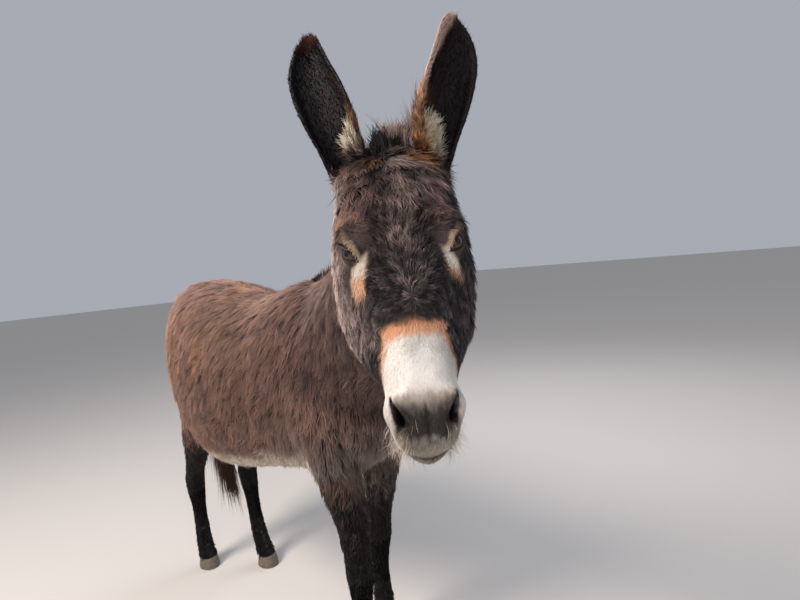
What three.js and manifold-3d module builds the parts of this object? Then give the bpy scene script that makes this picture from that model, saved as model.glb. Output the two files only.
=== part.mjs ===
// A standing donkey in a long winter coat, life size, with the head turned to its right and both ears up.
// Units are millimetres, +Z is up, the donkey faces -Y and its left side is +X. It stands 1.1 m at the
// withers over the coat, and every outline below is that of the coat.
// The body is lofted from sections, joined into one flesh solid, and parted into head, neck, trunk and
// legs by thin plane cuts. Ears, eyes, hooves, mane, tail dock and tail switch are solids of their own.
import * as THREE from 'three';
import { mergeVertices } from 'three/addons/utils/BufferGeometryUtils.js';
import Module from 'manifold-3d';

const wasm = await Module();
wasm.setup();

// ---- driving dimensions -------------------------------------------------------------------------

const HEAD_LENGTH = 492;         // poll to the lips
const EAR_LENGTH = 290;          // root in the poll to tip
const EAR_WALL = 9;              // ear shell with its short hair
const EYE_RADIUS = 20;
const HOOF_TOP = 40;             // coronet, where hair meets horn
const GAP = 0.3;                 // clearance between neighbouring pieces
const CUT = 0.5;                 // width of the cuts that part the body
const BIG = 3000;                // longer than the whole animal
const DEG = Math.PI / 180;

const HEAD_AT = new THREE.Vector3(-231, -915, 1280);   // the poll, between the ear roots
const HEAD_PITCH = -25 * DEG;    // nose forward of straight down
const HEAD_YAW = -41.8 * DEG;    // turned to the donkey's right
const HEAD_TILT = -1.1 * DEG;    // crown leaning to the donkey's right

const BODY_AROUND = 22;          // points round a section
const HEAD_AROUND = 28;
const LEG_AROUND = 12;
const EAR_AROUND = 7;            // points on each arc of an ear's section

// ---- geometry helpers ---------------------------------------------------------------------------

// Smooth values between the rows of a table whose first column rises: cubic Hermite with mean slopes.
function sample(rows, at) {
  let i = 0;
  while (i < rows.length - 2 && at > rows[i + 1][0]) i++;
  const [a, b] = [rows[i], rows[i + 1]];
  const before = rows[i - 1] ?? a;
  const after = rows[i + 2] ?? b;
  const span = b[0] - a[0];
  const t = THREE.MathUtils.clamp((at - a[0]) / span, 0, 1);
  return a.slice(1).map((_, k) => {
    const c = k + 1;
    const slopeA = (b[c] - before[c]) / (b[0] - before[0]) * span;
    const slopeB = (after[c] - a[c]) / (after[0] - a[0]) * span;
    const t2 = t * t;
    const t3 = t2 * t;
    return (2 * t3 - 3 * t2 + 1) * a[c] + (t3 - 2 * t2 + t) * slopeA
      + (3 * t2 - 2 * t3) * b[c] + (t3 - t2) * slopeB;
  });
}

// count + 1 values from the first column's start to its end, closer together at both ends.
function steps(rows, count, crowd = 0.35) {
  const [from, to] = [rows[0][0], rows.at(-1)[0]];
  return Array.from({ length: count + 1 }, (_, i) => {
    const t = i / count;
    const eased = (1 - Math.cos(Math.PI * t)) / 2;
    return from + (to - from) * THREE.MathUtils.lerp(t, eased, crowd);
  });
}

// A closed outline in a section's own plane. The half-width is reached at height 0; top and bottom may
// differ, and each half has its own squareness (2 is an ellipse, more is boxier).
function outline({ half, top, bottom, squareTop = 2, squareBottom = 2 }, around) {
  return Array.from({ length: around }, (_, i) => {
    const angle = (i / around) * 2 * Math.PI;
    const [c, s] = [Math.cos(angle), Math.sin(angle)];
    const power = 2 / (s >= 0 ? squareTop : squareBottom);
    return [
      half * Math.sign(c) * Math.abs(c) ** power,
      (s >= 0 ? top : bottom) * Math.sign(s) * Math.abs(s) ** power,
    ];
  });
}

// One closed surface through rings of points, each ring of the same length, ends closed by fans.
function loft(rings) {
  const around = rings[0].length;
  const points = rings.flat();
  const faces = [];
  for (let r = 0; r + 1 < rings.length; r++) {
    for (let i = 0; i < around; i++) {
      const j = (i + 1) % around;
      const [a, b, c, d] = [r * around + i, r * around + j, (r + 1) * around + i, (r + 1) * around + j];
      faces.push(a, b, d, a, d, c);
    }
  }
  for (const [ring, base, turned] of [[rings[0], 0, true], [rings.at(-1), points.length - around, false]]) {
    const middle = points.length;
    points.push(ring.reduce((sum, p) => sum.add(p), new THREE.Vector3()).divideScalar(around));
    for (let i = 0; i < around; i++) {
      const [a, b] = [base + i, base + (i + 1) % around];
      faces.push(...(turned ? [middle, b, a] : [middle, a, b]));
    }
  }
  const geometry = new THREE.BufferGeometry().setFromPoints(points);
  geometry.setIndex(faces);
  return geometry;
}

// Swells (push > 0) or hollows (push < 0) a surface round a point: the shift fades over the sizes in reach.
function swell(geometry, { at, reach, push, along }) {
  const position = geometry.getAttribute('position');
  const p = new THREE.Vector3();
  const way = new THREE.Vector3(...along).normalize();
  for (let i = 0; i < position.count; i++) {
    p.fromBufferAttribute(position, i);
    const far = [p.x - at[0], p.y - at[1], p.z - at[2]].reduce((sum, d, k) => sum + (d / reach[k]) ** 2, 0);
    p.addScaledVector(way, push * Math.exp(-far));
    position.setXYZ(i, p.x, p.y, p.z);
  }
}

// The same swelling on both sides of the median plane x = 0.
function swellBoth(geometry, feature) {
  swell(geometry, feature);
  swell(geometry, {
    ...feature,
    at: [-feature.at[0], feature.at[1], feature.at[2]],
    along: [-feature.along[0], feature.along[1], feature.along[2]],
  });
}

function toSolid(geometry, matrix = new THREE.Matrix4()) {
  const bare = new THREE.BufferGeometry().setAttribute('position', geometry.getAttribute('position'));
  bare.setIndex(geometry.index);
  const merged = mergeVertices(bare.applyMatrix4(matrix), 1e-3);
  const mesh = new wasm.Mesh({
    numProp: 3,
    vertProperties: merged.getAttribute('position').array,
    triVerts: new Uint32Array(merged.index.array),
  });
  const solid = new wasm.Manifold(mesh);
  if (solid.volume() > 0) return solid;
  mesh.triVerts.reverse();
  return new wasm.Manifold(mesh);
}

function toGeometry(solid) {
  const mesh = solid.getMesh();
  const positions = new Float32Array(mesh.numVert * 3);
  for (let i = 0; i < mesh.numVert; i++) {
    positions.set(mesh.vertProperties.subarray(i * mesh.numProp, i * mesh.numProp + 3), i * 3);
  }
  const geometry = new THREE.BufferGeometry();
  geometry.setAttribute('position', new THREE.BufferAttribute(positions, 3));
  geometry.setIndex(new THREE.BufferAttribute(mesh.triVerts, 1));
  geometry.computeVertexNormals();
  return geometry;
}

// All of space on the side of a plane that its normal points to, as a very large box.
function halfSpace(point, normal) {
  const way = new THREE.Vector3(...normal).normalize();
  const turn = new THREE.Quaternion().setFromUnitVectors(new THREE.Vector3(0, 0, 1), way);
  const centre = new THREE.Vector3(...point).addScaledVector(way, BIG / 2 + CUT / 2);
  const matrix = new THREE.Matrix4().compose(centre, turn, new THREE.Vector3(1, 1, 1));
  return toSolid(new THREE.BoxGeometry(BIG, BIG, BIG), matrix);
}

// The largest piece of a cut solid: the slivers that a plane leaves on the wrong side are dropped.
function mainPiece(solid) {
  return solid.decompose().reduce((a, b) => (b.volume() > a.volume() ? b : a));
}

// ---- trunk --------------------------------------------------------------------------------------

// y, top, bottom, half-width, height of the widest point
const TRUNK = [
  [-592, 800, 700, 30, 750],
  [-560, 880, 632, 92, 752],
  [-490, 985, 580, 136, 765],
  [-400, 1078, 552, 166, 772],
  [-310, 1092, 538, 184, 775],
  [-210, 1068, 524, 200, 772],
  [-110, 1055, 505, 212, 762],
  [0, 1075, 484, 218, 752],
  [120, 1104, 464, 214, 750],
  [230, 1117, 460, 200, 765],
  [330, 1118, 492, 182, 790],
  [420, 1110, 570, 158, 815],
  [500, 1078, 660, 124, 840],
  [560, 1015, 745, 80, 860],
  [592, 930, 820, 28, 872],
];

function trunk() {
  return loft(steps(TRUNK, 20).map((y) => {
    const [top, bottom, half, wide] = sample(TRUNK, y);
    return outline({ half, top: top - wide, bottom: wide - bottom, squareTop: 2.15, squareBottom: 2.2 }, BODY_AROUND)
      .map(([x, up]) => new THREE.Vector3(x, y, wide + up));
  }));
}

// ---- neck ---------------------------------------------------------------------------------------

// position along the neck, x, y, z of its core, reach to the crest, reach to the throat, half-width
const NECK = [
  [0, 0, -300, 850, 225, 235, 145],
  [1, -6, -430, 900, 205, 220, 136],
  [2, -34, -555, 972, 168, 185, 114],
  [3, -82, -668, 1050, 145, 158, 97],
  [4, -134, -765, 1120, 126, 138, 88],
  [5, -180, -848, 1176, 104, 118, 80],
  [6, -214, -910, 1196, 84, 84, 54],
];
const NECK_END = NECK.at(-1)[0];

// Section frames along the neck: the crest side points up, square to the way the neck runs.
function neckFrame(t) {
  const [x, y, z, crest, throat, half] = sample(NECK, t);
  const ahead = new THREE.Vector3(...sample(NECK, Math.min(t + 0.05, NECK_END)));
  const behind = new THREE.Vector3(...sample(NECK, Math.max(t - 0.05, 0)));
  const way = ahead.sub(behind).normalize();
  const side = new THREE.Vector3().crossVectors(new THREE.Vector3(0, 0, 1), way).normalize();
  const up = new THREE.Vector3().crossVectors(way, side).normalize();
  return { core: new THREE.Vector3(x, y, z), side, up, crest, throat, half };
}

function neck() {
  return loft(steps(NECK, 12, 0).map((t) => {
    const { core, side, up, crest, throat, half } = neckFrame(t);
    return outline({ half, top: crest, bottom: throat, squareTop: 1.8, squareBottom: 2.1 }, BODY_AROUND - 4)
      .map(([x, h]) => core.clone().addScaledVector(side, x).addScaledVector(up, h));
  }));
}

// The short upright mane: a ridge along the crest from the withers to between the ears.
const MANE_HEIGHT = [30, 84];    // at the withers and at the poll
const MANE_HALF = 20;

function mane() {
  const count = 11;
  return loft(Array.from({ length: count }, (_, i) => {
    const share = i / (count - 1);
    const { core, side, up, crest } = neckFrame(THREE.MathUtils.lerp(0.9, NECK_END, share));
    const rounding = Math.sqrt(Math.sin(Math.PI * (0.06 + 0.88 * share)));
    const rise = THREE.MathUtils.lerp(...MANE_HEIGHT, share) * rounding;
    return outline({ half: MANE_HALF, top: rise, bottom: 34, squareTop: 1.7 }, 8)
      .map(([x, h]) => core.clone().addScaledVector(side, x).addScaledVector(up, crest + h));
  }));
}

// ---- head ---------------------------------------------------------------------------------------
// The head's own frame: origin at the poll, -Z down the face to the nose, -Y out of the forehead.

// down the face, front of the face, back of the jaw, half-width, depth of the widest line,
// squareness of the front, squareness of the jaw side
const HEAD = [
  [-40, 24, 64, 28, 45, 2.0, 2.0],
  [-29, 0, 92, 60, 42, 2.0, 2.0],
  [-8, -26, 116, 86, 40, 2.1, 2.1],
  [28, -46, 144, 98, 36, 2.2, 2.2],
  [90, -60, 182, 106, 42, 2.3, 2.3],
  [145, -62, 196, 113, 58, 2.5, 2.3],
  [182, -58, 197, 115, 70, 2.7, 2.3],
  [215, -54, 192, 116, 72, 2.4, 2.3],
  [260, -50, 172, 110, 70, 1.9, 2.2],
  [300, -48, 148, 98, 64, 1.65, 2.2],
  [340, -46, 120, 77, 48, 1.85, 2.2],
  [370, -45, 100, 61, 30, 2.3, 2.2],
  [398, -44, 88, 53, 20, 2.6, 2.3],
  [424, -42, 85, 53, 18, 2.5, 2.3],
  [446, -36, 84, 51, 20, 2.4, 2.3],
  [466, -24, 80, 43, 22, 2.3, 2.3],
  [480, -6, 72, 31, 28, 2.1, 2.2],
  [488, 12, 62, 18, 34, 2.0, 2.0],
  [HEAD_LENGTH, 26, 50, 7, 38, 2.0, 2.0],
];

const EYE_AT = [71, -27, -181];
const NOSTRIL_AT = [38, -30, -423];

const HEAD_FORMS = [
  { at: [86, -32, -160], reach: [24, 30, 20], push: 9, along: [0.8, -0.6, 0] },      // brow over the eye
  { at: [88, -22, -184], reach: [20, 16, 18], push: -7, along: [1, -0.4, 0] },       // eye socket
  { at: [90, -4, -208], reach: [24, 22, 24], push: 4, along: [1, -0.3, 0] },         // cheekbone
  { at: [78, -40, -106], reach: [26, 26, 26], push: -5, along: [1, -0.5, 0] },       // temple hollow
  { at: [48, -22, -428], reach: [18, 24, 26], push: 9, along: [0.8, -0.6, 0.1] },    // wing of the nostril
  { at: [52, 4, -390], reach: [18, 24, 20], push: -3, along: [1, 0, 0] },            // waist above the nostril
];
const CHIN = { at: [0, 80, -456], reach: [28, 22, 20], push: 8, along: [0, 1, -0.2] };
const LIP_GROOVE = { at: [0, -44, -442], reach: [11, 22, 26], push: -3, along: [0, -1, 0] };
const FOREHEAD = { at: [0, -60, -92], reach: [60, 40, 55], push: 6, along: [0, -1, 0] };

const headMatrix = new THREE.Matrix4().compose(
  HEAD_AT,
  new THREE.Quaternion().setFromEuler(new THREE.Euler(HEAD_PITCH, HEAD_TILT, HEAD_YAW, 'ZYX')),
  new THREE.Vector3(1, 1, 1),
);

function headShell() {
  const shell = loft(steps(HEAD, 26, 0.3).map((down) => {
    const [front, back, half, wide, squareTop, squareBottom] = sample(HEAD, down);
    return outline({ half, top: wide - front, bottom: back - wide, squareTop, squareBottom }, HEAD_AROUND)
      .map(([x, out]) => new THREE.Vector3(x, wide - out, -down));
  }));
  HEAD_FORMS.forEach((form) => swellBoth(shell, form));
  [CHIN, LIP_GROOVE, FOREHEAD].forEach((form) => swell(shell, form));
  return shell;
}

// An ellipsoid as a solid in the head's frame.
function ellipsoid(at, radii, euler = [0, 0, 0]) {
  const matrix = headMatrix.clone().multiply(new THREE.Matrix4().compose(
    new THREE.Vector3(...at),
    new THREE.Quaternion().setFromEuler(new THREE.Euler(...euler)),
    new THREE.Vector3(...radii),
  ));
  return toSolid(new THREE.SphereGeometry(1, 14, 9), matrix);
}

// The slit between the lips: a thin flat ellipsoid, from the end of the muzzle up to the mouth's corners.
const MOUTH = { at: [0, 34, -468], radii: [60, 2.5, 30], tilt: -0.4 };

function headSolid() {
  let head = toSolid(headShell(), headMatrix);
  for (const side of [-1, 1]) {
    const [x, y, z] = NOSTRIL_AT;
    head = head.subtract(ellipsoid([side * x, y - 4, z], [8, 16, 19], [0.4, side * 0.35, side * -0.4]));
    head = head.subtract(ellipsoid([side * EYE_AT[0], EYE_AT[1], EYE_AT[2]], Array(3).fill(EYE_RADIUS + GAP)));
  }
  return head.subtract(ellipsoid(MOUTH.at, MOUTH.radii, [MOUTH.tilt, 0, 0]));
}

// ---- ears ---------------------------------------------------------------------------------------

// share of the ear's length, width across, opening half-angle of the shell's arc, bow of its axis,
// sway of its axis outwards
const EAR = [
  [0, 64, 165, 0, -4],
  [0.12, 80, 150, -2, -3],
  [0.25, 88, 128, -4, 0],
  [0.42, 98, 108, -5, 3],
  [0.58, 101, 97, -4, 8],
  [0.74, 92, 90, 0, 14],
  [0.87, 73, 86, 7, 13],
  [0.96, 46, 80, 13, 8],
  [1, 18, 75, 16, 3],
];

// Each section is a C: an outer arc round the back of the ear and an inner arc back to the start.
function earShell(side) {
  return loft(steps(EAR, 15, 0.3).map((share) => {
    const [width, halfAngle, bow, sway] = sample(EAR, share);
    const open = halfAngle * DEG;
    const radius = width / 2 / (open > Math.PI / 2 ? 1 : Math.sin(open));
    const wall = Math.min(EAR_WALL, radius * 0.55);
    const arc = (r, from, to) => Array.from({ length: EAR_AROUND }, (_, i) => {
      const angle = THREE.MathUtils.lerp(from, to, i / (EAR_AROUND - 1));
      return new THREE.Vector3(
        r * Math.sin(angle) + side * sway,
        0.72 * (r * Math.cos(angle) - radius) + radius * 0.5 + bow,
        share * EAR_LENGTH,
      );
    });
    return [...arc(radius, -open, open), ...arc(radius - wall, open * 0.97, -open * 0.97)];
  }));
}

// In the head's frame: where the ear leaves the poll, its tip, and how far its opening turns outwards.
const EARS = {
  ear_left: { side: 1, root: [72, 26, 16], tip: [150, -102, 258], turn: 24 },
  ear_right: { side: -1, root: [-70, 26, 18], tip: [-126, -58, 276], turn: 26 },
};
const EAR_BURIED = 36;

function ear({ side, root, tip, turn }) {
  const at = new THREE.Vector3(...root);
  const z = new THREE.Vector3(...tip).sub(at).normalize();
  const facing = new THREE.Vector3(side * Math.sin(turn * DEG), -Math.cos(turn * DEG), 0);
  const x = new THREE.Vector3().crossVectors(z, facing).normalize();
  const y = new THREE.Vector3().crossVectors(z, x);
  const placed = new THREE.Matrix4().makeBasis(x, y, z).setPosition(at.addScaledVector(z, -EAR_BURIED));
  return toSolid(earShell(side), headMatrix.clone().multiply(placed));
}

// ---- legs ---------------------------------------------------------------------------------------

// height, reach forwards, reach back, half-width, squareness
const FORE_FORM = [
  [HOOF_TOP, 40, 34, 33, 2.2],
  [62, 31, 33, 28, 2.2],
  [88, 28, 34, 27, 2.2],
  [112, 30, 38, 30, 2.2],
  [140, 27, 32, 26, 2.2],
  [200, 25, 28, 24, 2.2],
  [255, 27, 29, 26, 2.2],
  [300, 36, 34, 35, 2.4],
  [335, 37, 36, 36, 2.4],
  [370, 34, 38, 34, 2.3],
  [440, 40, 44, 41, 2.2],
  [520, 50, 52, 54, 2.2],
  [600, 68, 70, 66, 2.2],
  [690, 94, 96, 80, 2.2],
  [790, 94, 94, 76, 2.2],
  [880, 66, 70, 54, 2.0],
  [930, 28, 32, 22, 2.0],
];

const HIND_FORM = [
  [HOOF_TOP, 40, 34, 33, 2.2],
  [62, 31, 34, 28, 2.2],
  [88, 28, 35, 27, 2.2],
  [114, 31, 40, 30, 2.2],
  [145, 28, 33, 26, 2.2],
  [210, 27, 30, 25, 2.2],
  [270, 32, 33, 27, 2.2],
  [315, 42, 42, 33, 2.3],
  [352, 44, 54, 32, 2.3],
  [385, 44, 54, 30, 2.2],
  [430, 48, 48, 33, 2.2],
  [500, 76, 64, 43, 2.2],
  [580, 122, 88, 50, 2.2],
  [680, 165, 106, 56, 2.2],
  [790, 172, 116, 62, 2.2],
  [900, 150, 116, 62, 2.2],
  [990, 96, 80, 44, 2.0],
  [1035, 36, 30, 18, 2.0],
];

// Core line of each leg: height, x, y. The right fore and the left hind stand forward.
const LEGS = {
  foreleg_right: {
    form: FORE_FORM,
    line: [[0, -84, -552], [62, -84, -530], [112, -85, -516], [255, -86, -512], [330, -87, -516],
      [480, -85, -500], [600, -88, -460], [750, -100, -424], [930, -88, -392]],
  },
  foreleg_left: {
    form: FORE_FORM,
    line: [[0, 84, -426], [62, 84, -404], [112, 85, -390], [255, 86, -390], [330, 87, -396],
      [480, 87, -424], [600, 92, -440], [750, 103, -420], [930, 88, -392]],
  },
  hindleg_right: {
    form: HIND_FORM,
    line: [[0, -70, 478], [62, -71, 489], [114, -73, 494], [250, -78, 492], [352, -83, 486],
      [430, -86, 448], [520, -90, 402], [640, -93, 366], [800, -94, 346], [1035, -76, 340]],
  },
  hindleg_left: {
    form: HIND_FORM,
    line: [[0, 76, 282], [62, 77, 306], [114, 78, 332], [250, 80, 364], [352, 83, 382],
      [430, 86, 366], [520, 90, 344], [640, 93, 336], [800, 94, 338], [1035, 76, 340]],
  },
};

function leg({ form, line }) {
  return loft(steps(form, 19, 0).map((z) => {
    const [front, back, half, square] = sample(form, z);
    const [x, y] = sample(line, z);
    return outline({ half, top: back, bottom: front, squareTop: square, squareBottom: square }, LEG_AROUND)
      .map(([across, aft]) => new THREE.Vector3(x + across, y + aft, z));
  }));
}

// share of the hoof's height, reach forwards, reach back, half-width
const HOOF = [
  [0, 52, 34, 37],
  [0.15, 52, 34, 37.5],
  [0.6, 46, 32, 35],
  [1, 40, 30, 31.5],
];

// A steep upright hoof, flat on the ground and open to the pastern above.
function hoof({ line }) {
  const [x, y] = sample(line, HOOF_TOP / 2);
  return loft(steps(HOOF, 3, 0).map((share) => {
    const [front, back, half] = sample(HOOF, share);
    return outline({ half, top: back, bottom: front, squareTop: 2.6, squareBottom: 2.1 }, LEG_AROUND + 2)
      .map(([across, aft]) => new THREE.Vector3(x + across, y + aft, share * (HOOF_TOP - GAP)));
  }));
}

// ---- tail ---------------------------------------------------------------------------------------

// height falls from the root; x, y of the core and radius
const DOCK = [
  [-1062, 0, 505, 20],
  [-1020, 0, 548, 29],
  [-960, 2, 584, 27],
  [-860, 8, 596, 22],
  [-740, 20, 578, 18],
  [-640, 36, 546, 17],
];
const SWITCH = [
  [-640 + 1, 36, 546, 19],
  [-560, 44, 528, 25],
  [-460, 50, 510, 26],
  [-350, 58, 497, 22],
  [-280, 62, 491, 14],
  [-225, 65, 487, 5],
];

function tube(rows, count, around) {
  return loft(steps(rows, count, 0).map((fall) => {
    const [x, y, radius] = sample(rows, fall);
    return outline({ half: radius, top: radius, bottom: radius }, around)
      .map(([across, aft]) => new THREE.Vector3(x + across, y + aft, -fall));
  }));
}

// ---- parting the flesh into named pieces --------------------------------------------------------

const flesh = [trunk(), neck(), ...Object.values(LEGS).map(leg)]
  .map((geometry) => toSolid(geometry))
  .reduce((a, b) => a.add(b))
  .add(headSolid());

// The throat cut follows the back of the head; the shoulder cut leans with the front of the shoulder.
const throatWay = new THREE.Vector3(0, -0.9, -0.42).transformDirection(headMatrix);
const throatAt = new THREE.Vector3(0, 120, -40).applyMatrix4(headMatrix);
const HEAD_SIDE = [throatAt.toArray(), throatWay.toArray()];
const SHOULDER_SIDE = [[0, -470, 900], [-0.12, -0.82, 0.42]];
const ELBOW_SIDE = [[0, -450, 606], [0, -0.1, -1]];
const GIRTH_SIDE = [[0, -318, 560], [0, -1, -0.3]];
const STIFLE_SIDE = [[0, 380, 590], [0, 0.5, -1]];
const FLANK_SIDE = [[0, 236, 500], [0, 1, -0.25]];
const LEFT_SIDE = [[0, 0, 0], [1, 0, 0]];

const flip = ([point, way]) => [point, way.map((n) => -n)];
const within = (...sides) => sides.reduce((solid, side) => solid.intersect(halfSpace(...side)), flesh);
const foreSides = [ELBOW_SIDE, GIRTH_SIDE];
const hindSides = [STIFLE_SIDE, FLANK_SIDE];

// The trunk keeps what lies outside both leg regions: on the far side of one of each region's planes.
const outside = (sides) => sides.map((side) => halfSpace(...flip(side))).reduce((a, b) => a.add(b));
const pieces = {
  head: within(HEAD_SIDE),
  neck: within(flip(HEAD_SIDE), SHOULDER_SIDE),
  trunk: within(flip(SHOULDER_SIDE)).intersect(outside(foreSides)).intersect(outside(hindSides)),
  foreleg_left: within(...foreSides, LEFT_SIDE, flip(SHOULDER_SIDE)),
  foreleg_right: within(...foreSides, flip(LEFT_SIDE), flip(SHOULDER_SIDE)),
  hindleg_left: within(...hindSides, LEFT_SIDE),
  hindleg_right: within(...hindSides, flip(LEFT_SIDE)),
};

for (const [name, form] of Object.entries(EARS)) pieces[name] = ear(form);
for (const [name, side] of [['left', 1], ['right', -1]]) {
  const at = [side * EYE_AT[0], EYE_AT[1], EYE_AT[2]];
  pieces[`eye_${name}`] = ellipsoid(at, Array(3).fill(EYE_RADIUS));
}
for (const [name, form] of Object.entries(LEGS)) {
  pieces[name.replace('leg', 'hoof')] = toSolid(hoof(form));
}
pieces.mane = toSolid(mane());
pieces.tail_dock = toSolid(tube(DOCK, 8, 10));
pieces.tail_switch = toSolid(tube(SWITCH, 8, 10));

// A later piece gives way to the earlier ones it grows from: it is cut by them, and by copies of them
// moved the gap's width in each of the given directions.
function clearOf(solid, ways, ...others) {
  const shifts = ways.map((way) => way.setLength(GAP).toArray());
  return mainPiece(others.reduce(
    (left, other) => shifts.reduce((rest, shift) => rest.subtract(other.translate(shift)), left.subtract(other)),
    solid,
  ));
}
for (const [name, { side }] of Object.entries(EARS)) {
  const way = new THREE.Vector3(side * 0.8, -0.2, 0.8).transformDirection(headMatrix);
  pieces[name] = clearOf(pieces[name], [way], pieces.head, pieces.neck);
}
const sideways = new THREE.Vector3(0.8, -0.4, 0.5);
const backwards = new THREE.Vector3(-0.5, 0.6, 0.7);
pieces.mane = clearOf(
  pieces.mane, [sideways, backwards], pieces.neck, pieces.head, pieces.trunk, pieces.ear_left, pieces.ear_right,
);
const aft = new THREE.Vector3(0, 1, 0.3);
pieces.tail_dock = clearOf(pieces.tail_dock, [aft], pieces.trunk, pieces.hindleg_left, pieces.hindleg_right);

// ---- the scene graph ----------------------------------------------------------------------------

const material = (color, roughness) => new THREE.MeshStandardMaterial({ color, roughness, metalness: 0 });
const MATERIALS = {
  coat: material(0x4a3229, 0.9),
  legs: material(0x1f1715, 0.9),
  eye: material(0x140d0a, 0.15),
  hoof: material(0x6f6553, 0.6),
  mane: material(0x221a18, 0.95),
};
const finishOf = (name) => {
  if (name.startsWith('eye')) return MATERIALS.eye;
  if (/hoof/.test(name)) return MATERIALS.hoof;
  if (/leg/.test(name)) return MATERIALS.legs;
  return /mane|switch/.test(name) ? MATERIALS.mane : MATERIALS.coat;
};

const donkey = new THREE.Group();
for (const [name, solid] of Object.entries(pieces)) {
  const mesh = new THREE.Mesh(toGeometry(mainPiece(solid)), finishOf(name));
  mesh.name = name;
  donkey.add(mesh);
}

// The origin stands on the floor under the middle of the bounding box.
const box = new THREE.Box3().setFromObject(donkey, true);
const centre = box.getCenter(new THREE.Vector3());
donkey.position.set(-centre.x, -centre.y, -box.min.z);

export default donkey;
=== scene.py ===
# A standing donkey in its winter coat, life size. One skin covers the frame's flesh, tufts of hair lie over
# the skin, and the eyes, hooves, mane, forelock, tail tuft, whiskers and lashes are pieces of their own.
# Units are metres. +Z is up, the donkey faces -Y and its left side is +X.
import math
import bmesh
import bpy
import numpy as np
from mathutils import Euler, Matrix, Vector
from mathutils.bvhtree import BVHTree
from mathutils.kdtree import KDTree


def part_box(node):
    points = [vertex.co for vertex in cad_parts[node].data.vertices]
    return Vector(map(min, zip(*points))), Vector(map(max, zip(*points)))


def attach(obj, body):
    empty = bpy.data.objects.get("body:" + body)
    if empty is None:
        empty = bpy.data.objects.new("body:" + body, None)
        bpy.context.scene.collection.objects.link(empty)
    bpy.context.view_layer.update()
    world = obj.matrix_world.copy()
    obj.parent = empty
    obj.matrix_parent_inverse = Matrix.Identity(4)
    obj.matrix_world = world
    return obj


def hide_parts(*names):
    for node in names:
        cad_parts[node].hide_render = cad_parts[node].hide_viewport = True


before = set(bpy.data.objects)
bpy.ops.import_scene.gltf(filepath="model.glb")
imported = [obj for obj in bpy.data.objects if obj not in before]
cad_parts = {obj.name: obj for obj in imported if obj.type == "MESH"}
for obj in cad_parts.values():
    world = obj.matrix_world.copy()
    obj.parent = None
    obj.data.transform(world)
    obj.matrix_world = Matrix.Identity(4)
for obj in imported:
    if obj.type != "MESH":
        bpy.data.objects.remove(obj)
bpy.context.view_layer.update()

# ---- The head's own frame -----------------------------------------------------------------------
# The head is carried turned to the donkey's right. Its features are placed in a frame of its own: the origin
# at the poll, +X the donkey's left, -Y out of the forehead and -Z down the face, set here on the two eyes.

HEAD_TURN = Euler([math.radians(angle) for angle in (-25.0, -1.1, -41.8)])     # pitch, tilt, yaw
HEAD_AXES = np.array(HEAD_TURN.to_matrix())
EYE = np.array([0.071, -0.027, -0.181])        # the left eye's centre; the right eye mirrors it in X
BETWEEN_EYES = EYE * [0, 1, 1]


def middle(node):
    low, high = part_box(node)
    return np.array((low + high) / 2)


HEAD_AT = (middle("eye_left") + middle("eye_right")) / 2 - HEAD_AXES @ BETWEEN_EYES


def in_head(points):
    return (points - HEAD_AT) @ HEAD_AXES


def from_head(points):
    return np.asarray(points) @ HEAD_AXES.T + HEAD_AT


def on_left(q):
    """Points of the head's frame with its right side laid over its left."""
    return q * np.where(q[:, :1] < 0, [-1, 1, 1], 1)


# ---- The skin -----------------------------------------------------------------------------------
# The hide of the whole animal in one piece, from the lips to the ear tips and the dock of the tail. It lies
# inside the flesh solids by the depth of the coat, deep on the trunk and a bare velvet on the muzzle.

BODY_NODES = ["neck", "trunk", "foreleg_left", "foreleg_right", "hindleg_left", "hindleg_right", "tail_dock"]
EAR_NODES = ["ear_left", "ear_right"]
COARSE, FINE, EAR_GRAIN = 0.005, 0.0015, 0.0018     # size of the hide's mesh on the body, face and ears
OVERLAP = 0.0008                                    # closes the thin cuts between the flesh solids
ACROSS_CM2 = 1e4                                    # square centimetres in a square metre


def smooth_step(low, high, value):
    share = np.clip((value - low) / (high - low), 0, 1)
    return share * share * (3 - 2 * share)


def unit(vectors):
    return vectors / np.maximum(np.linalg.norm(vectors, axis=-1, keepdims=True), 1e-12)


def set_down(name, mesh):
    piece = bpy.data.objects.new(name, mesh)
    bpy.context.scene.collection.objects.link(piece)
    return piece


def read(items, what, wide, kind=np.float32):
    """One measure of every vertex, edge, face or corner of a mesh, a row each."""
    flat = np.empty(len(items) * wide, kind)
    items.foreach_get(what, flat)
    return flat.reshape(-1, wide)


def points_of(mesh):
    return read(mesh.vertices, "co", 3).astype(float)


def normals_of(mesh):
    return read(mesh.vertex_normals, "vector", 3).astype(float)


def move_points(mesh, points):
    mesh.vertices.foreach_set("co", points.astype(np.float32).ravel())
    mesh.update()


def edges_of(mesh):
    return read(mesh.edges, "vertices", 2, np.int32)


def spread(values, edges, times):
    """Evens out a value per point along the mesh's edges."""
    a, b = edges.T
    values = np.array(values, float)
    table = values.reshape(len(values), -1)
    degree = np.bincount(a, minlength=len(table)) + np.bincount(b, minlength=len(table))
    for _ in range(times):
        for column in table.T:
            total = np.bincount(a, column[b], len(table)) + np.bincount(b, column[a], len(table))
            column[:] = (column + total) / (1 + degree)
    return values


def copied(node, swollen=OVERLAP):
    """A copy of a CAD node with its loose triangles merged, swollen along its normals."""
    shell = bmesh.new()
    shell.from_mesh(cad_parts[node].data)
    bmesh.ops.remove_doubles(shell, verts=shell.verts, dist=1e-5)
    shell.normal_update()
    for vertex in shell.verts:
        vertex.co += vertex.normal * swollen
    mesh = bpy.data.meshes.new(node + "_copy")
    shell.to_mesh(mesh)
    shell.free()
    return set_down(node + "_copy", mesh)


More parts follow.
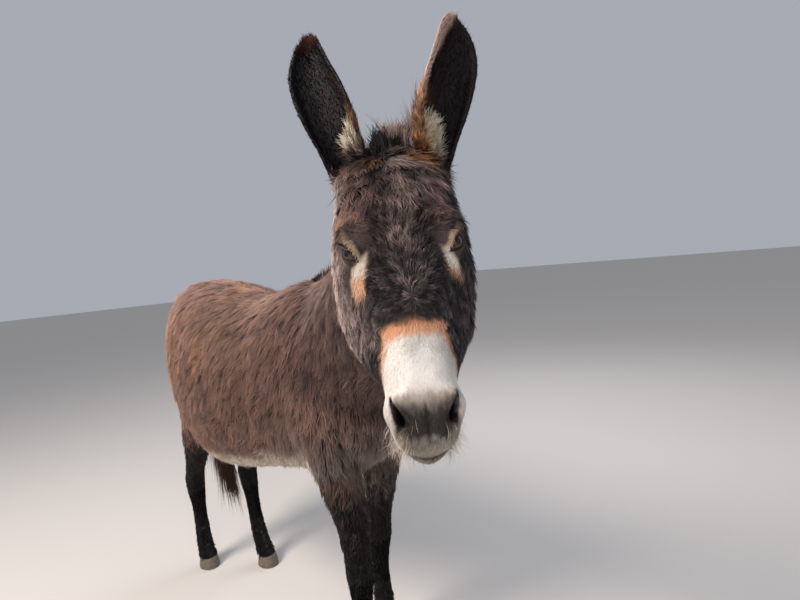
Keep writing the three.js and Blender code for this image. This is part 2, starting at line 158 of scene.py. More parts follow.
def lofted(name, rings):
    """A closed solid through rings of points, each ring of the same length, with its ends filled."""
    rings = np.asarray(rings, float)
    count, around = rings.shape[:2]
    shell = bmesh.new()
    grid = [[shell.verts.new(point) for point in ring] for ring in rings]
    for near, far in zip(grid, grid[1:]):
        for i in range(around):
            j = (i + 1) % around
            shell.faces.new((near[i], near[j], far[j], far[i]))
    shell.faces.new(grid[0])
    shell.faces.new(grid[-1])
    bmesh.ops.remove_doubles(shell, verts=shell.verts, dist=1e-7)
    bmesh.ops.recalc_face_normals(shell, faces=shell.faces)
    mesh = bpy.data.meshes.new(name)
    shell.to_mesh(mesh)
    shell.free()
    return set_down(name, mesh)


def applied(piece, kind, **settings):
    """The piece with one modifier worked into its mesh."""
    modifier = piece.modifiers.new(kind, kind)
    for setting, value in settings.items():
        setattr(modifier, setting, value)
    mesh = bpy.data.meshes.new_from_object(piece.evaluated_get(bpy.context.evaluated_depsgraph_get()))
    piece.modifiers.clear()
    piece.data = mesh
    return piece


def united(first, *others, operation="UNION"):
    for other in others:
        applied(first, "BOOLEAN", operation=operation, solver="MANIFOLD", object=other)
        bpy.data.objects.remove(other)
    return first


def ball(name, centre, radii, turn=(0, 0, 0)):
    """An ellipsoid in the head's frame."""
    polar = np.linspace(0.02, math.pi - 0.02, 24)
    round_about = np.linspace(0, 2 * math.pi, 32, endpoint=False)
    unit_rings = np.array([[(math.sin(p) * math.cos(r), math.sin(p) * math.sin(r), math.cos(p))
                            for r in round_about] for p in polar])
    turned = (unit_rings * radii) @ np.array(Euler(turn).to_matrix()).T
    return lofted(name, from_head(turned + centre))


def region_tree(nodes):
    """Nearest-node lookup over several CAD nodes: the tree, and the node of each of its faces."""
    corners, faces, owners = [], [], []
    for index, node in enumerate(nodes):
        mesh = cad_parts[node].data
        start = len(corners)
        corners += [tuple(vertex.co) for vertex in mesh.vertices]
        faces += [tuple(start + v for v in polygon.vertices) for polygon in mesh.polygons]
        owners += [index] * len(mesh.polygons)
    return BVHTree.FromPolygons(corners, faces), np.array(owners)


ALL_FLESH = ["head"] + BODY_NODES + EAR_NODES
flesh_tree, flesh_owner = region_tree(ALL_FLESH)


def regions_of(points):
    """The index in ALL_FLESH of the flesh solid nearest to each point."""
    return flesh_owner[[flesh_tree.find_nearest(point)[2] for point in points]]


def is_in(regions, *words):
    named = [i for i, node in enumerate(ALL_FLESH) if any(node.startswith(word) for word in words)]
    return np.isin(regions, named)


# Coat depth down the face and up the legs: places, then depths there.
FACE_DEPTH = ([-0.04, 0.06, 0.15, 0.25, 0.31, 0.345, 0.38, 0.50],
              [0.010, 0.009, 0.006, 0.005, 0.004, 0.0025, 0.0012, 0.001])
LEG_DEPTH = ([0.04, 0.07, 0.35, 0.50, 0.62], [0.001, 0.002, 0.0025, 0.005, 0.008])
TRUNK_DEPTH, NECK_DEPTH, DOCK_DEPTH, EAR_DEPTH = 0.009, 0.009, 0.005, 0.0012
EYE_DEPTH, EYE_REACH = 0.003, 0.034


def coat_depth(points):
    regions = regions_of(points)
    q = in_head(points)
    depth = np.full(len(points), TRUNK_DEPTH)
    depth[is_in(regions, "neck")] = NECK_DEPTH
    depth[is_in(regions, "tail")] = DOCK_DEPTH
    depth[is_in(regions, "ear")] = EAR_DEPTH
    legs = is_in(regions, "fore", "hind")
    depth[legs] = np.interp(points[legs, 2], *LEG_DEPTH)
    head = is_in(regions, "head")
    on_head = np.interp(-q[head, 2], *FACE_DEPTH)
    from_eye = np.linalg.norm(on_left(q[head]) - EYE, axis=1)
    near_eye = smooth_step(EYE_REACH * 1.5, EYE_REACH * 0.7, from_eye)
    depth[head] = on_head + (EYE_DEPTH - on_head) * near_eye
    return depth


def drawn_in(piece, extra=None):
    """Draws a shell in from the tips of the coat to the hide."""
    mesh = piece.data
    points, edges = points_of(mesh), edges_of(mesh)
    depth = spread(coat_depth(points), edges, 8)
    if extra is not None:
        depth += extra(points)
    way = unit(spread(normals_of(mesh), edges, 4))
    move_points(mesh, points - way * depth[:, None])
    return piece


# The sockets, nostrils and mouth of the head solid are filled first, then carved finer below.
NOSTRIL = np.array([0.041, -0.027, -0.428])
MOUTH = np.array([0, 0.034, -0.468])
MOUTH_TURN = (-0.40, 0, 0)
MOUTH_ACROSS = np.array([0, math.cos(0.4), -math.sin(0.4)])     # from lip to lip
MIRROR = {"left": np.array([1, 1, 1]), "right": np.array([-1, 1, 1])}


def whole_head():
    fillings = [copied(node) for node in ("eye_left", "eye_right")]
    fillings += [ball("filling", np.array([0.038, -0.031, -0.423]) * flip, (0.0086, 0.0166, 0.0196),
                      (0.4, 0.35 * flip[0], -0.4 * flip[0])) for flip in MIRROR.values()]
    fillings.append(ball("filling", MOUTH + [0, 0, 0.004], (0.046, 0.007, 0.022), MOUTH_TURN))
    return united(copied("head"), *fillings)


# Soft forms pushed out of the head (or pressed in): where, how far they fade, how much, and which way.
FACE_FORMS = [
    ((0.088, -0.038, -0.143), (0.024, 0.022, 0.013), 0.0085, (0.85, -0.50, 0.10)),   # brow above the eye
    ((0.060, -0.052, -0.205), (0.012, 0.014, 0.014), -0.002, (0.5, -0.8, 0)),        # hollow inside the eye
    ((0.096, -0.010, -0.205), (0.020, 0.020, 0.016), 0.003, (1, -0.3, 0)),           # cheekbone below it
    ((0.052, -0.014, -0.425), (0.011, 0.014, 0.024), 0.0055, (0.9, -0.45, 0)),       # nostril's outer wing
    ((0.027, -0.038, -0.424), (0.009, 0.012, 0.020), 0.0030, (0.1, -1, 0)),          # inner wing
    ((0.024, -0.012, -0.474), (0.022, 0.020, 0.012), 0.0040, (0.3, -1, -0.5)),       # upper lip
    ((0.030, 0.006, -0.468), (0.014, 0.014, 0.014), 0.0030, (0.9, -0.3, -0.3)),      # its side
    ((0.016, 0.050, -0.486), (0.022, 0.014, 0.012), 0.0045, (0, 0.2, -1)),           # lower lip
]
PHILTRUM = ((0, -0.040, -0.452), (0.006, 0.020, 0.026), -0.0030, (0, -1, -0.3))
FACE_GROOVE = ((0, -0.050, -0.345), (0.012, 0.02, 0.045), -0.0015, (0, -1, 0))


def swell(points, at, reach, push, along):
    fading = np.exp(-(((points - at) / reach) ** 2).sum(1))
    return points + np.outer(push * fading, unit(np.array(along, float)))


EYE_WAY = unit(np.array([0.80, -0.55, -0.20]))               # the way the left eye looks
EYE_LONG = np.array([-0.48, -0.28, -0.86])                   # along its opening, to the inner corner
EYE_LONG = unit(EYE_LONG - EYE_WAY * (EYE_LONG @ EYE_WAY))
EYE_UP = unit(np.cross(EYE_LONG, EYE_WAY))
ORBIT_RADIUS, ORBIT_SET_BACK = 0.0246, 0.0052
NOSTRIL_WAY = unit(np.array([0.60, -0.78, -0.20]))           # out of the nostril
NOSTRIL_LONG = unit(np.array([-0.26, 0.04, -0.96]))          # from its narrow top to its round lower end
NOSTRIL_ACROSS = unit(np.cross(NOSTRIL_LONG, NOSTRIL_WAY))
NOSTRIL_HALF, NOSTRIL_WIDE, NOSTRIL_BOW = 0.0225, 0.0100, 0.0045     # half its length and width, and its bend
# Rings of the nostril's hole, inwards: height out of the face, how much narrower, and moved across and along.
NOSTRIL_RINGS = [(0.020, -0.004), (0.004, -0.0014), (0.0,), (-0.005, 0.0006),
                 (-0.012, 0.002, (-0.003, -0.002)), (-0.020, 0.004, (-0.006, -0.005)),
                 (-0.030, 0.006, (-0.008, -0.010))]


def nostril_ring(out, narrower=0.0, moved=(0, 0)):
    """The comma of a nostril as a ring, at a height out of the face."""
    angles = np.linspace(0, 2 * math.pi, 40, endpoint=False)
    along, side = np.cos(angles), np.sin(angles)
    half = NOSTRIL_WIDE * (0.58 + 0.42 * along) - narrower
    bow = NOSTRIL_BOW * (1 - along ** 2)
    across = bow + side * np.maximum(half, 0.0008) + moved[0]
    return (NOSTRIL + np.outer(along * (NOSTRIL_HALF - narrower) + moved[1], NOSTRIL_LONG)
            + np.outer(across, NOSTRIL_ACROSS) + NOSTRIL_WAY * out)


def carved_head():
    head = whole_head()
    applied(head, "REMESH", mode="VOXEL", voxel_size=0.003)
    applied(head, "SMOOTH", factor=0.5, iterations=60)
    drawn_in(head)
    points = in_head(points_of(head.data))
    for at, reach, push, along in FACE_FORMS:
        for flip in MIRROR.values():
            points = swell(points, at * flip, reach, push, along * flip)
    points = swell(swell(points, *PHILTRUM), *FACE_GROOVE)
    move_points(head.data, from_head(points))
    orbit = EYE - EYE_WAY * ORBIT_SET_BACK
    united(head, *[ball("orbit", orbit * flip, [ORBIT_RADIUS] * 3) for flip in MIRROR.values()])
    applied(head, "REMESH", mode="VOXEL", voxel_size=FINE)
    applied(head, "SMOOTH", factor=0.5, iterations=12)
    applied(head, "DECIMATE", ratio=0.26)
    return head


LID_HALF, LID_ABOVE, LID_BELOW = 0.0188, 0.0084, 0.0066      # half the opening's length; its rise and fall
EYE_RADIUS = 0.0204
# Rings of the lids outwards from the opening's edge: how far beyond it, and the height over the eyeball.
LID_RINGS = [(-0.0060, -0.0016), (-0.0006, -0.0012), (0.0, 0.0004), (0.0005, 0.0014), (0.0016, 0.0021),
             (0.0032, 0.0024), (0.0046, 0.0020), (0.0056, 0.0024), (0.0072, 0.0026), (0.0090, 0.0019),
             (0.0104, 0.0022), (0.0130, 0.0016), (0.0170, 0.0004)]


def lid_edge(beyond=0.0):
    """The lids' opening: for each point of it the turn about the eye, the way there and the polar angle."""
    angles = np.linspace(0, 2 * math.pi, 72, endpoint=False)
    along = LID_HALF * np.cos(angles)
    rise = np.where(np.sin(angles) > 0, LID_ABOVE, LID_BELOW)
    up = rise * np.sign(np.sin(angles)) * np.abs(np.sin(angles)) ** 1.25
    turn = np.arctan2(up, along)
    sideways = np.cos(turn)[:, None] * EYE_LONG + np.sin(turn)[:, None] * EYE_UP
    return turn, sideways, np.maximum(np.arcsin(np.hypot(along, up) / EYE_RADIUS) + beyond / EYE_RADIUS, 0.05)


def holes():
    """The mouth's slit, the eye sockets and the nostrils, to be cut out of the hide."""
    cuts = [ball("mouth", MOUTH, (0.060, 0.0013, 0.030), MOUTH_TURN)]
    for flip in MIRROR.values():
        _, sideways, edge = lid_edge(0.0035)
        opening = [EYE + r * (np.cos(edge)[:, None] * EYE_WAY + np.sin(edge)[:, None] * sideways)
                   for r in (0.010, 0.017, 0.024, 0.032, 0.044)]
        cuts.append(lofted("socket", from_head(np.array(opening) * flip)))
        deeper = np.array([nostril_ring(*ring) for ring in NOSTRIL_RINGS])
        cuts.append(lofted("nostril", from_head(deeper * flip)))
    return cuts


def lids(flip):
    """Both lids of one eye as a shell over the eyeball, with a rolled margin and two folds."""
    rings = []
    for beyond, height in LID_RINGS:
        turn, sideways, polar = lid_edge(beyond)
        fold = 1.0 + 0.5 * np.maximum(np.sin(turn), 0) * (beyond > 0.004)
        rings.append(EYE + (np.cos(polar)[:, None] * EYE_WAY + np.sin(polar)[:, None] * sideways)
                     * (EYE_RADIUS + height * fold)[:, None])
    for polar in (2.1, 2.6, 3.0):
        rings.append(EYE + (math.cos(polar) * EYE_WAY + math.sin(polar) * sideways) * EYE_RADIUS)
    return lofted("lids", from_head(np.array(rings) * flip))


def hollow_ear(node):
    """An ear's hide: thinned, and drawn down its own axis to meet the hide of the poll."""
    ear = copied(node, 0)
    applied(ear, "REMESH", mode="VOXEL", voxel_size=EAR_GRAIN)
    applied(ear, "SMOOTH", factor=0.5, iterations=10)
    mesh = ear.data
    points, edges = points_of(mesh), edges_of(mesh)
    axis = np.linalg.svd(points - points.mean(0), full_matrices=False)[2][0]
    axis = axis * np.sign(axis[2])
    height = (points - points.mean(0)) @ axis
    low = height.min()
    points -= np.outer(0.022 * smooth_step(low + 0.075, low, height), axis)
    points -= unit(spread(normals_of(mesh), edges, 3)) * EAR_DEPTH
    move_points(mesh, points)
    return applied(ear, "DECIMATE", ratio=0.22)


def softened(mesh):
    """Rounds the creases where the lids, lips and nostrils were joined or cut."""
    points, edges = points_of(mesh), edges_of(mesh)
    q = in_head(points)
    from_eye = on_left(q) - EYE
    polar = np.arccos(np.clip(unit(from_eye) @ EYE_WAY, -1, 1))
    seam = smooth_step(1.15, 1.30, polar) * smooth_step(1.75, 1.55, polar)
    seam = seam * (np.linalg.norm(from_eye, axis=1) < EYE_REACH)
    cuts = smooth_step(0.015, 0.004, np.linalg.norm((q - [0, 0.020, -0.483]) * [0.2, 0.5, 0.7], axis=1))
    near = np.linalg.norm(on_left(q) - NOSTRIL, axis=1) < 0.035
    gap = np.full(len(q), 1.0)
    gap[near] = np.linalg.norm(on_left(q[near])[:, None] - nostril_ring(0.0), axis=2).min(1)
    cuts = np.maximum(cuts, smooth_step(0.005, 0.002, gap))
    share = np.maximum(seam, cuts)[:, None]
    move_points(mesh, points + (spread(points, edges, 5) - points) * share)


def under_face(points):
    """How much deeper the coarse body lies where the finely carved face covers it."""
    q = in_head(points)
    return (0.0012 * smooth_step(0.09, 0.05, q[:, 1])
            + 0.004 * smooth_step(0.05, 0.02, q[:, 1]) * smooth_step(0.10, 0.18, -q[:, 2]))


def whole_hide():
    body = united(whole_head(), *[copied(node) for node in BODY_NODES])
    applied(body, "REMESH", mode="VOXEL", voxel_size=COARSE)
    applied(body, "SMOOTH", factor=0.5, iterations=40)
    drawn_in(body, under_face)
    applied(body, "DECIMATE", ratio=0.17)
    ears = [hollow_ear(node) for node in EAR_NODES]
    united(body, carved_head())
    united(body, *holes(), operation="DIFFERENCE")
    hide = united(body, *[lids(flip) for flip in MIRROR.values()], *ears)
    applied(hide, "TRIANGULATE")
    softened(hide.data)
    hide.name = hide.data.name = "skin"
    hide.data.polygons.foreach_set("use_smooth", np.ones(len(hide.data.polygons), bool))
    return hide


skin = whole_hide()

# ---- Where the coat lies ------------------------------------------------------------------------
# Each point of the skin carries the way its hair lies, and how long, wide, dense and raised the tufts are.
# Hair runs back and down the body; on the face it parts from a whorl below the eyes and from the poll.

mesh = skin.data
points, normals, edges = points_of(mesh), normals_of(mesh), edges_of(mesh)
regions = regions_of(points)
q, head_normals = in_head(points), normals @ HEAD_AXES
on_head, on_neck, on_trunk = (is_in(regions, word) for word in ("head", "neck", "trunk"))
on_leg, on_ear, on_dock = is_in(regions, "fore", "hind"), is_in(regions, "ear"), is_in(regions, "tail")
height = points[:, 2]
WHORL = (0.003, 0.268)                         # across the face, and down it
down, across = -q[:, 2], np.abs(q[:, 0])


def table(value, *rows):
    """Values between the rows of a small table, the first column rising."""
    columns = np.array(rows, float).T
    return np.stack([np.interp(value, columns[0], column) for column in columns[1:]], axis=1)


def body_flow():
    """Back and down over the trunk, straight down the neck, shoulders and legs, and out from the spine."""
    flow = np.tile([0.0, 0.55, -0.85], (len(points), 1))
    flow[on_neck] = [0.05, 0.45, -0.9]
    shoulder = smooth_step(0.10, -0.22, points[:, 1])[:, None]
    flow = np.where(on_trunk[:, None], flow * (1 - shoulder) + np.array([0, 0.18, -1]) * shoulder, flow)
    flow[on_leg] = [0, 0.12, -1]
    flow[on_dock] = [0, 0.1, -1]
    rump = on_trunk & (points[:, 1] > 0.55)
    flow[rump] = [0, 0.35, -1]
    outwards = np.sign(points[:, 0] - middle("trunk")[0])
    flow[:, 0] += 0.5 * outwards * smooth_step(0.5, 0.95, normals[:, 2]) * on_trunk
    return flow


def face_flow():
    """In the head's frame: out and up from the whorl, down the nose below it, and down from the poll."""
    side = np.sign(q[:, 0])
    x, above = q[:, 0] - WHORL[0], WHORL[1] - down
    radial = np.stack([x * 1.6, 0 * x, above], 1)
    radial = unit(radial) + np.stack([side * 0.5 * smooth_step(0.05, 0.15, above), 0 * x, 0 * x], 1)
    top = smooth_step(0.06, -0.02, down)
    locks = np.stack([side * (0.08 + across / 0.09) * (1 - 0.7 * top), -0.2 - 0.8 * top, -1.0 + 0 * x], 1)
    nose = np.stack([x / 0.12, 0 * x, -1 + 0 * x], 1)
    cheek = np.stack([0 * x, 0.30 + 0 * x, -1 + 0 * x], 1)
    meets = smooth_step(0.130, 0.100, down - 0.25 * across)[:, None]
    flow = unit(radial) * (1 - meets) + unit(locks) * meets
    flow = np.where((down > WHORL[1] + 0.03)[:, None], unit(nose), flow)
    hangs = smooth_step(0.55, 0.80, np.abs(head_normals[:, 0]))
    hangs = np.maximum(hangs, smooth_step(0.044, 0.056, across) * smooth_step(0.15, 0.18, down))[:, None]
    flow = flow * (1 - hangs) + unit(cheek) * hangs
    under = smooth_step(0.3, 0.7, head_normals[:, 1])[:, None]
    return flow * (1 - under) + np.array([0, 0.5, -0.8]) * under


def ear_hollow():
    """1 in the ears' hollows, 0 on their backs. The left ear is turned out, the right one looks ahead."""
    faces = unit(np.where(q[:, :1] > 0, [0.10, -1.0, 0.0], [-0.15, -1.0, 0.0]))
    return smooth_step(-0.10, 0.30, spread((head_normals * faces).sum(1), edges, 3)) * on_ear


def blob(q, at, reach):
    return np.exp(-(((q - at) / reach) ** 2).sum(1))


def both_sides(q, at, reach):
    return np.maximum(blob(q, at, reach), blob(q, np.array(at) * [-1, 1, 1], reach))


def near_lines(q, *lines):
    """1 on lines given by start, end and reach, fading to 0 at a distance."""
    shares = []
    for start, end, reach in lines:
        start, way = np.array(start), np.array(end) - start
        share = np.clip((q - start) @ way / (way @ way), 0, 1)
        shares.append(np.exp(-(np.linalg.norm(q - start - share[:, None] * way, axis=1) / reach) ** 2))
    return np.maximum(*shares)


ear_inside = ear_hollow()
ear_rim = on_ear * smooth_step(0.06, 0.30, ear_inside) * smooth_step(0.94, 0.6, ear_inside)
# The ears' hollows are deep, so distance into them counts less for the cream hair.
FLATTENED = np.array([1, 0.4, 1])
ear_cream = near_lines(q * FLATTENED, ((0.078, 0.000, 0.070), (0.088, 0.004, 0.018), 0.0110),
                       ((-0.063, 0.002, 0.056), (-0.052, -0.008, -0.014), 0.0105))
ear_cream = np.minimum(1, 1.6 * ear_cream)
ear_cream = ear_cream * np.maximum(ear_inside, on_head * smooth_step(-0.025, -0.010, q[:, 2]))
ear_orange = near_lines(q, ((0.060, -0.036, 0.100), (0.046, -0.024, -0.012), 0.021),
                        ((-0.053, -0.029, 0.072), (-0.038, -0.040, -0.030), 0.019))
ear_orange = np.minimum(1, 1.5 * ear_orange) * (1 - smooth_step(0.2, 0.6, ear_cream))
ear_orange = ear_orange * np.maximum(on_ear, on_head * smooth_step(-0.035, -0.010, q[:, 2]))
ear_fold = on_ear * near_lines(q, ((0.136, -0.076, 0.242), (0.094, -0.070, 0.154), 0.0140),
                               ((0.094, -0.070, 0.154), (0.064, -0.047, 0.084), 0.0120))
ear_fold = smooth_step(0.15, 0.55, ear_fold)
flow = body_flow()
flow[on_head] = (face_flow() @ HEAD_AXES.T)[on_head]
outward = np.sign(q[:, 0])
flow[on_ear] = (np.stack([outward * 0.25, 0 * outward, 1 + 0 * outward], 1) @ HEAD_AXES.T)[on_ear]
fan = unit(np.stack([outward * 0.9, 0 * outward - 0.3, 0.55 + 0 * outward], 1)) @ HEAD_AXES.T
flow += (fan - flow) * ear_cream[:, None]

# The coat by region, as length, width (both in mm), tufts per square centimetre, and rise in degrees.
sideways = np.abs(head_normals[:, 0]) + 0.6 * np.maximum(head_normals[:, 1], 0)
on_side = smooth_step(0.50, 0.85, sideways)[:, None]
front = table(down, (-0.04, 38, 1.7, 14, 34), (0.03, 34, 1.6, 16, 30), (0.10, 29, 1.4, 19, 25),
              (0.16, 21, 1.2, 26, 21), (0.24, 16, 1.0, 36, 18), (0.29, 11.5, 0.95, 44, 18),
              (0.335, 6, 0.8, 44, 13), (0.37, 4.2, 0.7, 44, 9), (0.46, 3.4, 0.7, 38, 11),
              (0.49, 5, 0.8, 30, 24))
cheek = table(down, (-0.04, 36, 1.8, 13, 32), (0.08, 30, 1.6, 15, 28), (0.16, 26, 1.4, 18, 25),
              (0.28, 23, 1.3, 20, 25), (0.33, 15, 1.1, 28, 21), (0.37, 7, 0.9, 34, 16),
              (0.43, 4, 0.7, 36, 15), (0.49, 6, 0.8, 30, 24))
coat = np.tile([40.0, 2.5, 6.3, 15], (len(points), 1))
coat[on_neck] = [38, 2.4, 7.2, 18]
coat[on_head] = (front * (1 - on_side) + cheek * on_side)[on_head]
coat[on_leg] = table(height, (0.045, 22, 2.0, 9, 22), (0.075, 14, 1.9, 9, 16), (0.115, 19, 2.0, 9, 30),
                     (0.165, 11.5, 1.9, 10, 18), (0.33, 11.5, 1.9, 10, 20), (0.45, 22, 2.6, 6, 18),
                     (0.60, 36, 2.5, 6.3, 15))[on_leg]
breast_hair = blob(points, np.array([0.085, -0.27, 0.600]), np.array([0.09, 0.07, 0.06]))
coat += (np.array([58, 2.2, 8, 24]) - coat) * breast_hair[:, None]
brow_hair = both_sides(q, (0.092, -0.030, -0.138), (0.020, 0.030, 0.020)) * on_head
coat += (np.array([21, 1.4, 24, 34]) - coat) * brow_hair[:, None]
coat[on_ear] = [8, 1.2, 16, 10]
coat[ear_rim > 0.4] = [9, 1.2, 26, 22]
coat[ear_fold > 0.4] = [9, 1.1, 34, 18]
coat[on_ear & (q[:, 2] > 0.230)] = [11, 1.2, 34, 26]
coat += (np.array([15, 1.2, 24, 17]) - coat) * (0.8 * ear_orange * on_ear)[:, None]
coat += (np.array([34, 1.5, 16, 34]) - coat) * smooth_step(0.2, 0.6, ear_cream)[:, None]
coat[on_dock] = [20, 2.4, 8, 16]
coat = spread(coat, edges, 6)
normals = unit(spread(normals, edges, 2))
flow = unit(spread(unit(flow), edges, 25))
flow = unit(flow - normals * (flow * normals).sum(1)[:, None])

# ---- The markings ------------------------------------------------------------------------------
# Colours shared by the hide and every tuft: for any point, the dark colour at a hair's root and the light one
# at its tip. Brown body, black-brown face with a russet brow, a rust band over a white muzzle, pale patches
# below the eyes.


def linear(colour):
    """Linear light from an sRGB hex colour."""
    parts = np.array([int(colour[i:i + 2], 16) for i in (1, 3, 5)]) / 255
    return np.where(parts <= 0.04045, parts / 12.92, ((parts + 0.055) / 1.055) ** 2.4)


SCRAMBLE = np.array([374761393, 668265263, 2147483647])     # large numbers that give each cell its own value


def noise(points, size, seed):
    """Smooth value noise from 0 to 1, with lumps of about this size."""
    at = points / size + seed * 17.3
    cell = np.floor(at).astype(int)
    part = at - cell
    part = part * part * (3 - 2 * part)
    total = np.zeros(len(points))
    for corner in np.ndindex(2, 2, 2):
        weight = np.prod(np.where(corner, part, 1 - part), axis=1)
        key = (cell + corner) @ SCRAMBLE + seed * 1013904223
        key = (key ^ (key >> 13)) * 1274126177
        total += weight * (((key ^ (key >> 16)) & 0xFFFF) / 0xFFFF)
    return total


def markings():
    """Root and tip colour for each point of the hide."""
    roots, tips = np.zeros((len(points), 3)), np.zeros((len(points), 3))

    def lay(share, root, tip):
        share = np.asarray(share, float)[:, None]
        roots[:] = roots * (1 - share) + linear(root) * share
        tips[:] = tips * (1 - share) + linear(tip) * share

    x, y, z = points.T
    neck_share = spread(on_neck.astype(float), edges, 90)
    level = z + 0.05 * (noise(points, 0.09, 3) - 0.5)
    lay(np.ones(len(points)), "#2a1b16", "#a28070")
    lay(smooth_step(0.45, 0.75, y) * on_trunk, "#38231b", "#b88f79")
    warm = smooth_step(0.45, 0.75, noise(points * [1, 1, 0.6], 0.055, 15))
    warm = warm * smooth_step(-0.10, 0.15, y) * smooth_step(0.62, 0.80, z)
    lay(0.55 * warm * on_trunk, "#382113", "#b68b67")
    lay(0.5 * smooth_step(0.5, 0.8, noise(points * [1, 1, 0.5], 0.045, 16)) * on_trunk, "#1d1415", "#7f6765")
    lay(neck_share, "#201715", "#7a635d")
    lay(smooth_step(0.05, -0.15, y) * smooth_step(0.80, 0.6, z) * (on_trunk | on_neck), "#1c1615", "#90827d")
    lay(0.8 * blob(points, (0.085, -0.27, 0.590), (0.09, 0.07, 0.045)), "#5d534b", "#b5a799")
    pale_below = np.interp(y, [-0.22, -0.175, 0.03, 0.26, 0.55], [0.60, 0.665, 0.618, 0.583, 0.55])
    under = smooth_step(0.010, -0.020, level - pale_below)
    under = under * smooth_step(-0.23, -0.19, y) * smooth_step(0.72, 0.60, y)
    lay(under * on_trunk, "#7a6d62", "#e6d8c6")
    lay(smooth_step(0.66, 0.50, level) * on_leg, "#080606", "#2c211e")
    lay(smooth_step(0.47, 0.34, level) * on_leg, "#050404", "#13100f")
    lay(0.7 * blob(points, (0.130, -0.225, 0.530), (0.07, 0.07, 0.055)), "#4f453d", "#a3958a")
    lay(on_dock, "#2c201b", "#6a4d3e")
    lay(on_ear, "#1c120f", "#6f4d3d")
    lay(on_ear * smooth_step(0.25, 0.6, ear_inside), "#060304", "#0f090b")
    lay(on_ear * smooth_step(0.25, 0.6, ear_inside) * (q[:, 0] > 0), "#0a0606", "#241716")
    lay(0.95 * ear_fold, "#7d6557", "#dfc2b2")
    tips_of_ears = on_ear * smooth_step(0.225, 0.258, q[:, 2])
    lay(0.8 * tips_of_ears * (q[:, 0] > 0), "#6b4838", "#c99c80")
    lay(0.6 * tips_of_ears * (q[:, 0] < 0), "#3a211b", "#7d5044")
    cream = smooth_step(0.05, 0.4, ear_cream * (0.6 + 0.8 * noise(q, 0.008, 12)))
    lay(cream * (q[:, 0] > 0), "#b9a27c", "#fff4de")
    lay(0.9 * cream * (q[:, 0] < 0), "#95836a", "#f0e3cb")

    lay(on_head, "#060404", "#534b4b")
    patchy = q + 0.016 * (np.stack([noise(q, 0.022, seed) for seed in (4, 5, 6)], 1) - 0.5)
    down, across = -patchy[:, 2], np.abs(patchy[:, 0])
    side = smooth_step(0.55, 0.85, np.abs(head_normals[:, 0])) * on_head
    brow = smooth_step(0.22, 0.12, down) * smooth_step(0.085, 0.05, across)
    lay(brow * on_head, "#0a0706", "#876d65")
    lay(0.8 * on_head * smooth_step(0.08, 0.0, down), "#0a0706", "#42342f")
    temple = np.exp(-((patchy[:, 0] + 0.076) / 0.014) ** 2)
    lay(0.75 * on_head * temple * smooth_step(0.15, 0.12, down), "#38201a", "#98694f")
    bridge = np.exp(-((across - 0.008) / 0.016) ** 2)
    lay(0.7 * on_head * bridge * smooth_step(0.27, 0.18, down), "#110b0a", "#917d76")
    beside_bridge = np.exp(-((across - 0.026) / 0.012) ** 2)
    lay(0.85 * on_head * beside_bridge * smooth_step(0.27, 0.15, down), "#080506", "#2c2627")
    # Painted sheen: the right side of the face is laid pale grey-lilac for the sky's sheen glancing off its
    # dark hair; the left side keeps the dark face colour.
    lay(side * smooth_step(0.34, 0.29, down) * smooth_step(0.02, -0.02, q[:, 0]), "#3b302c", "#b09c95")
    lay(0.7 * blob(patchy, (-0.088, -0.020, -0.112), (0.02, 0.04, 0.030)) * on_head, "#3f2418", "#c08a68")
    lay(0.6 * on_head * blob(patchy, (0.003, -0.05, -0.262), (0.008, 0.03, 0.014)), "#4a3c3a", "#bcaea8")

    lay(np.where(q[:, 0] > 0, 0.9, 0.65) * ear_orange, "#553520", "#a87850")

    lay(both_sides(q, (0.094, -0.028, -0.142), (0.018, 0.030, 0.015)) * on_head, "#080606", "#2b2322")

    # The white muzzle, its rust border, the dark skin of the nose and the greyed lips.
    fine_edge = q + 0.007 * (np.stack([noise(q, 0.008, seed) for seed in (8, 9, 10)], 1) - 0.5)
    down, across = -fine_edge[:, 2], np.abs(fine_edge[:, 0])
    wrap = across + 0.9 * np.maximum(q[:, 1] + 0.022, 0)
    width = np.interp(down, [0.30, 0.322, 0.345, 0.36, 0.385, 0.42, 0.46],
                      [0.040, 0.0435, 0.049, 0.062, 0.085, 0.105, 0.16])
    inner = np.minimum(down - 0.321, width - wrap)
    outer = np.minimum(down - 0.302, width + 0.0085 - wrap)
    rust = smooth_step(-0.006, 0.007, outer) * smooth_step(0.376, 0.350, down)
    lay(rust * on_head, "#c98a61", "#f3c2a0")
    muzzle = on_head * smooth_step(-0.005, 0.009, inner)
    lay(muzzle, "#e0dad2", "#ebe5dd")
    corner = both_sides(fine_edge, (0.056, 0.003, -0.373), (0.012, 0.02, 0.012))
    lay(0.6 * corner * muzzle, "#a88f6e", "#d8bd92")
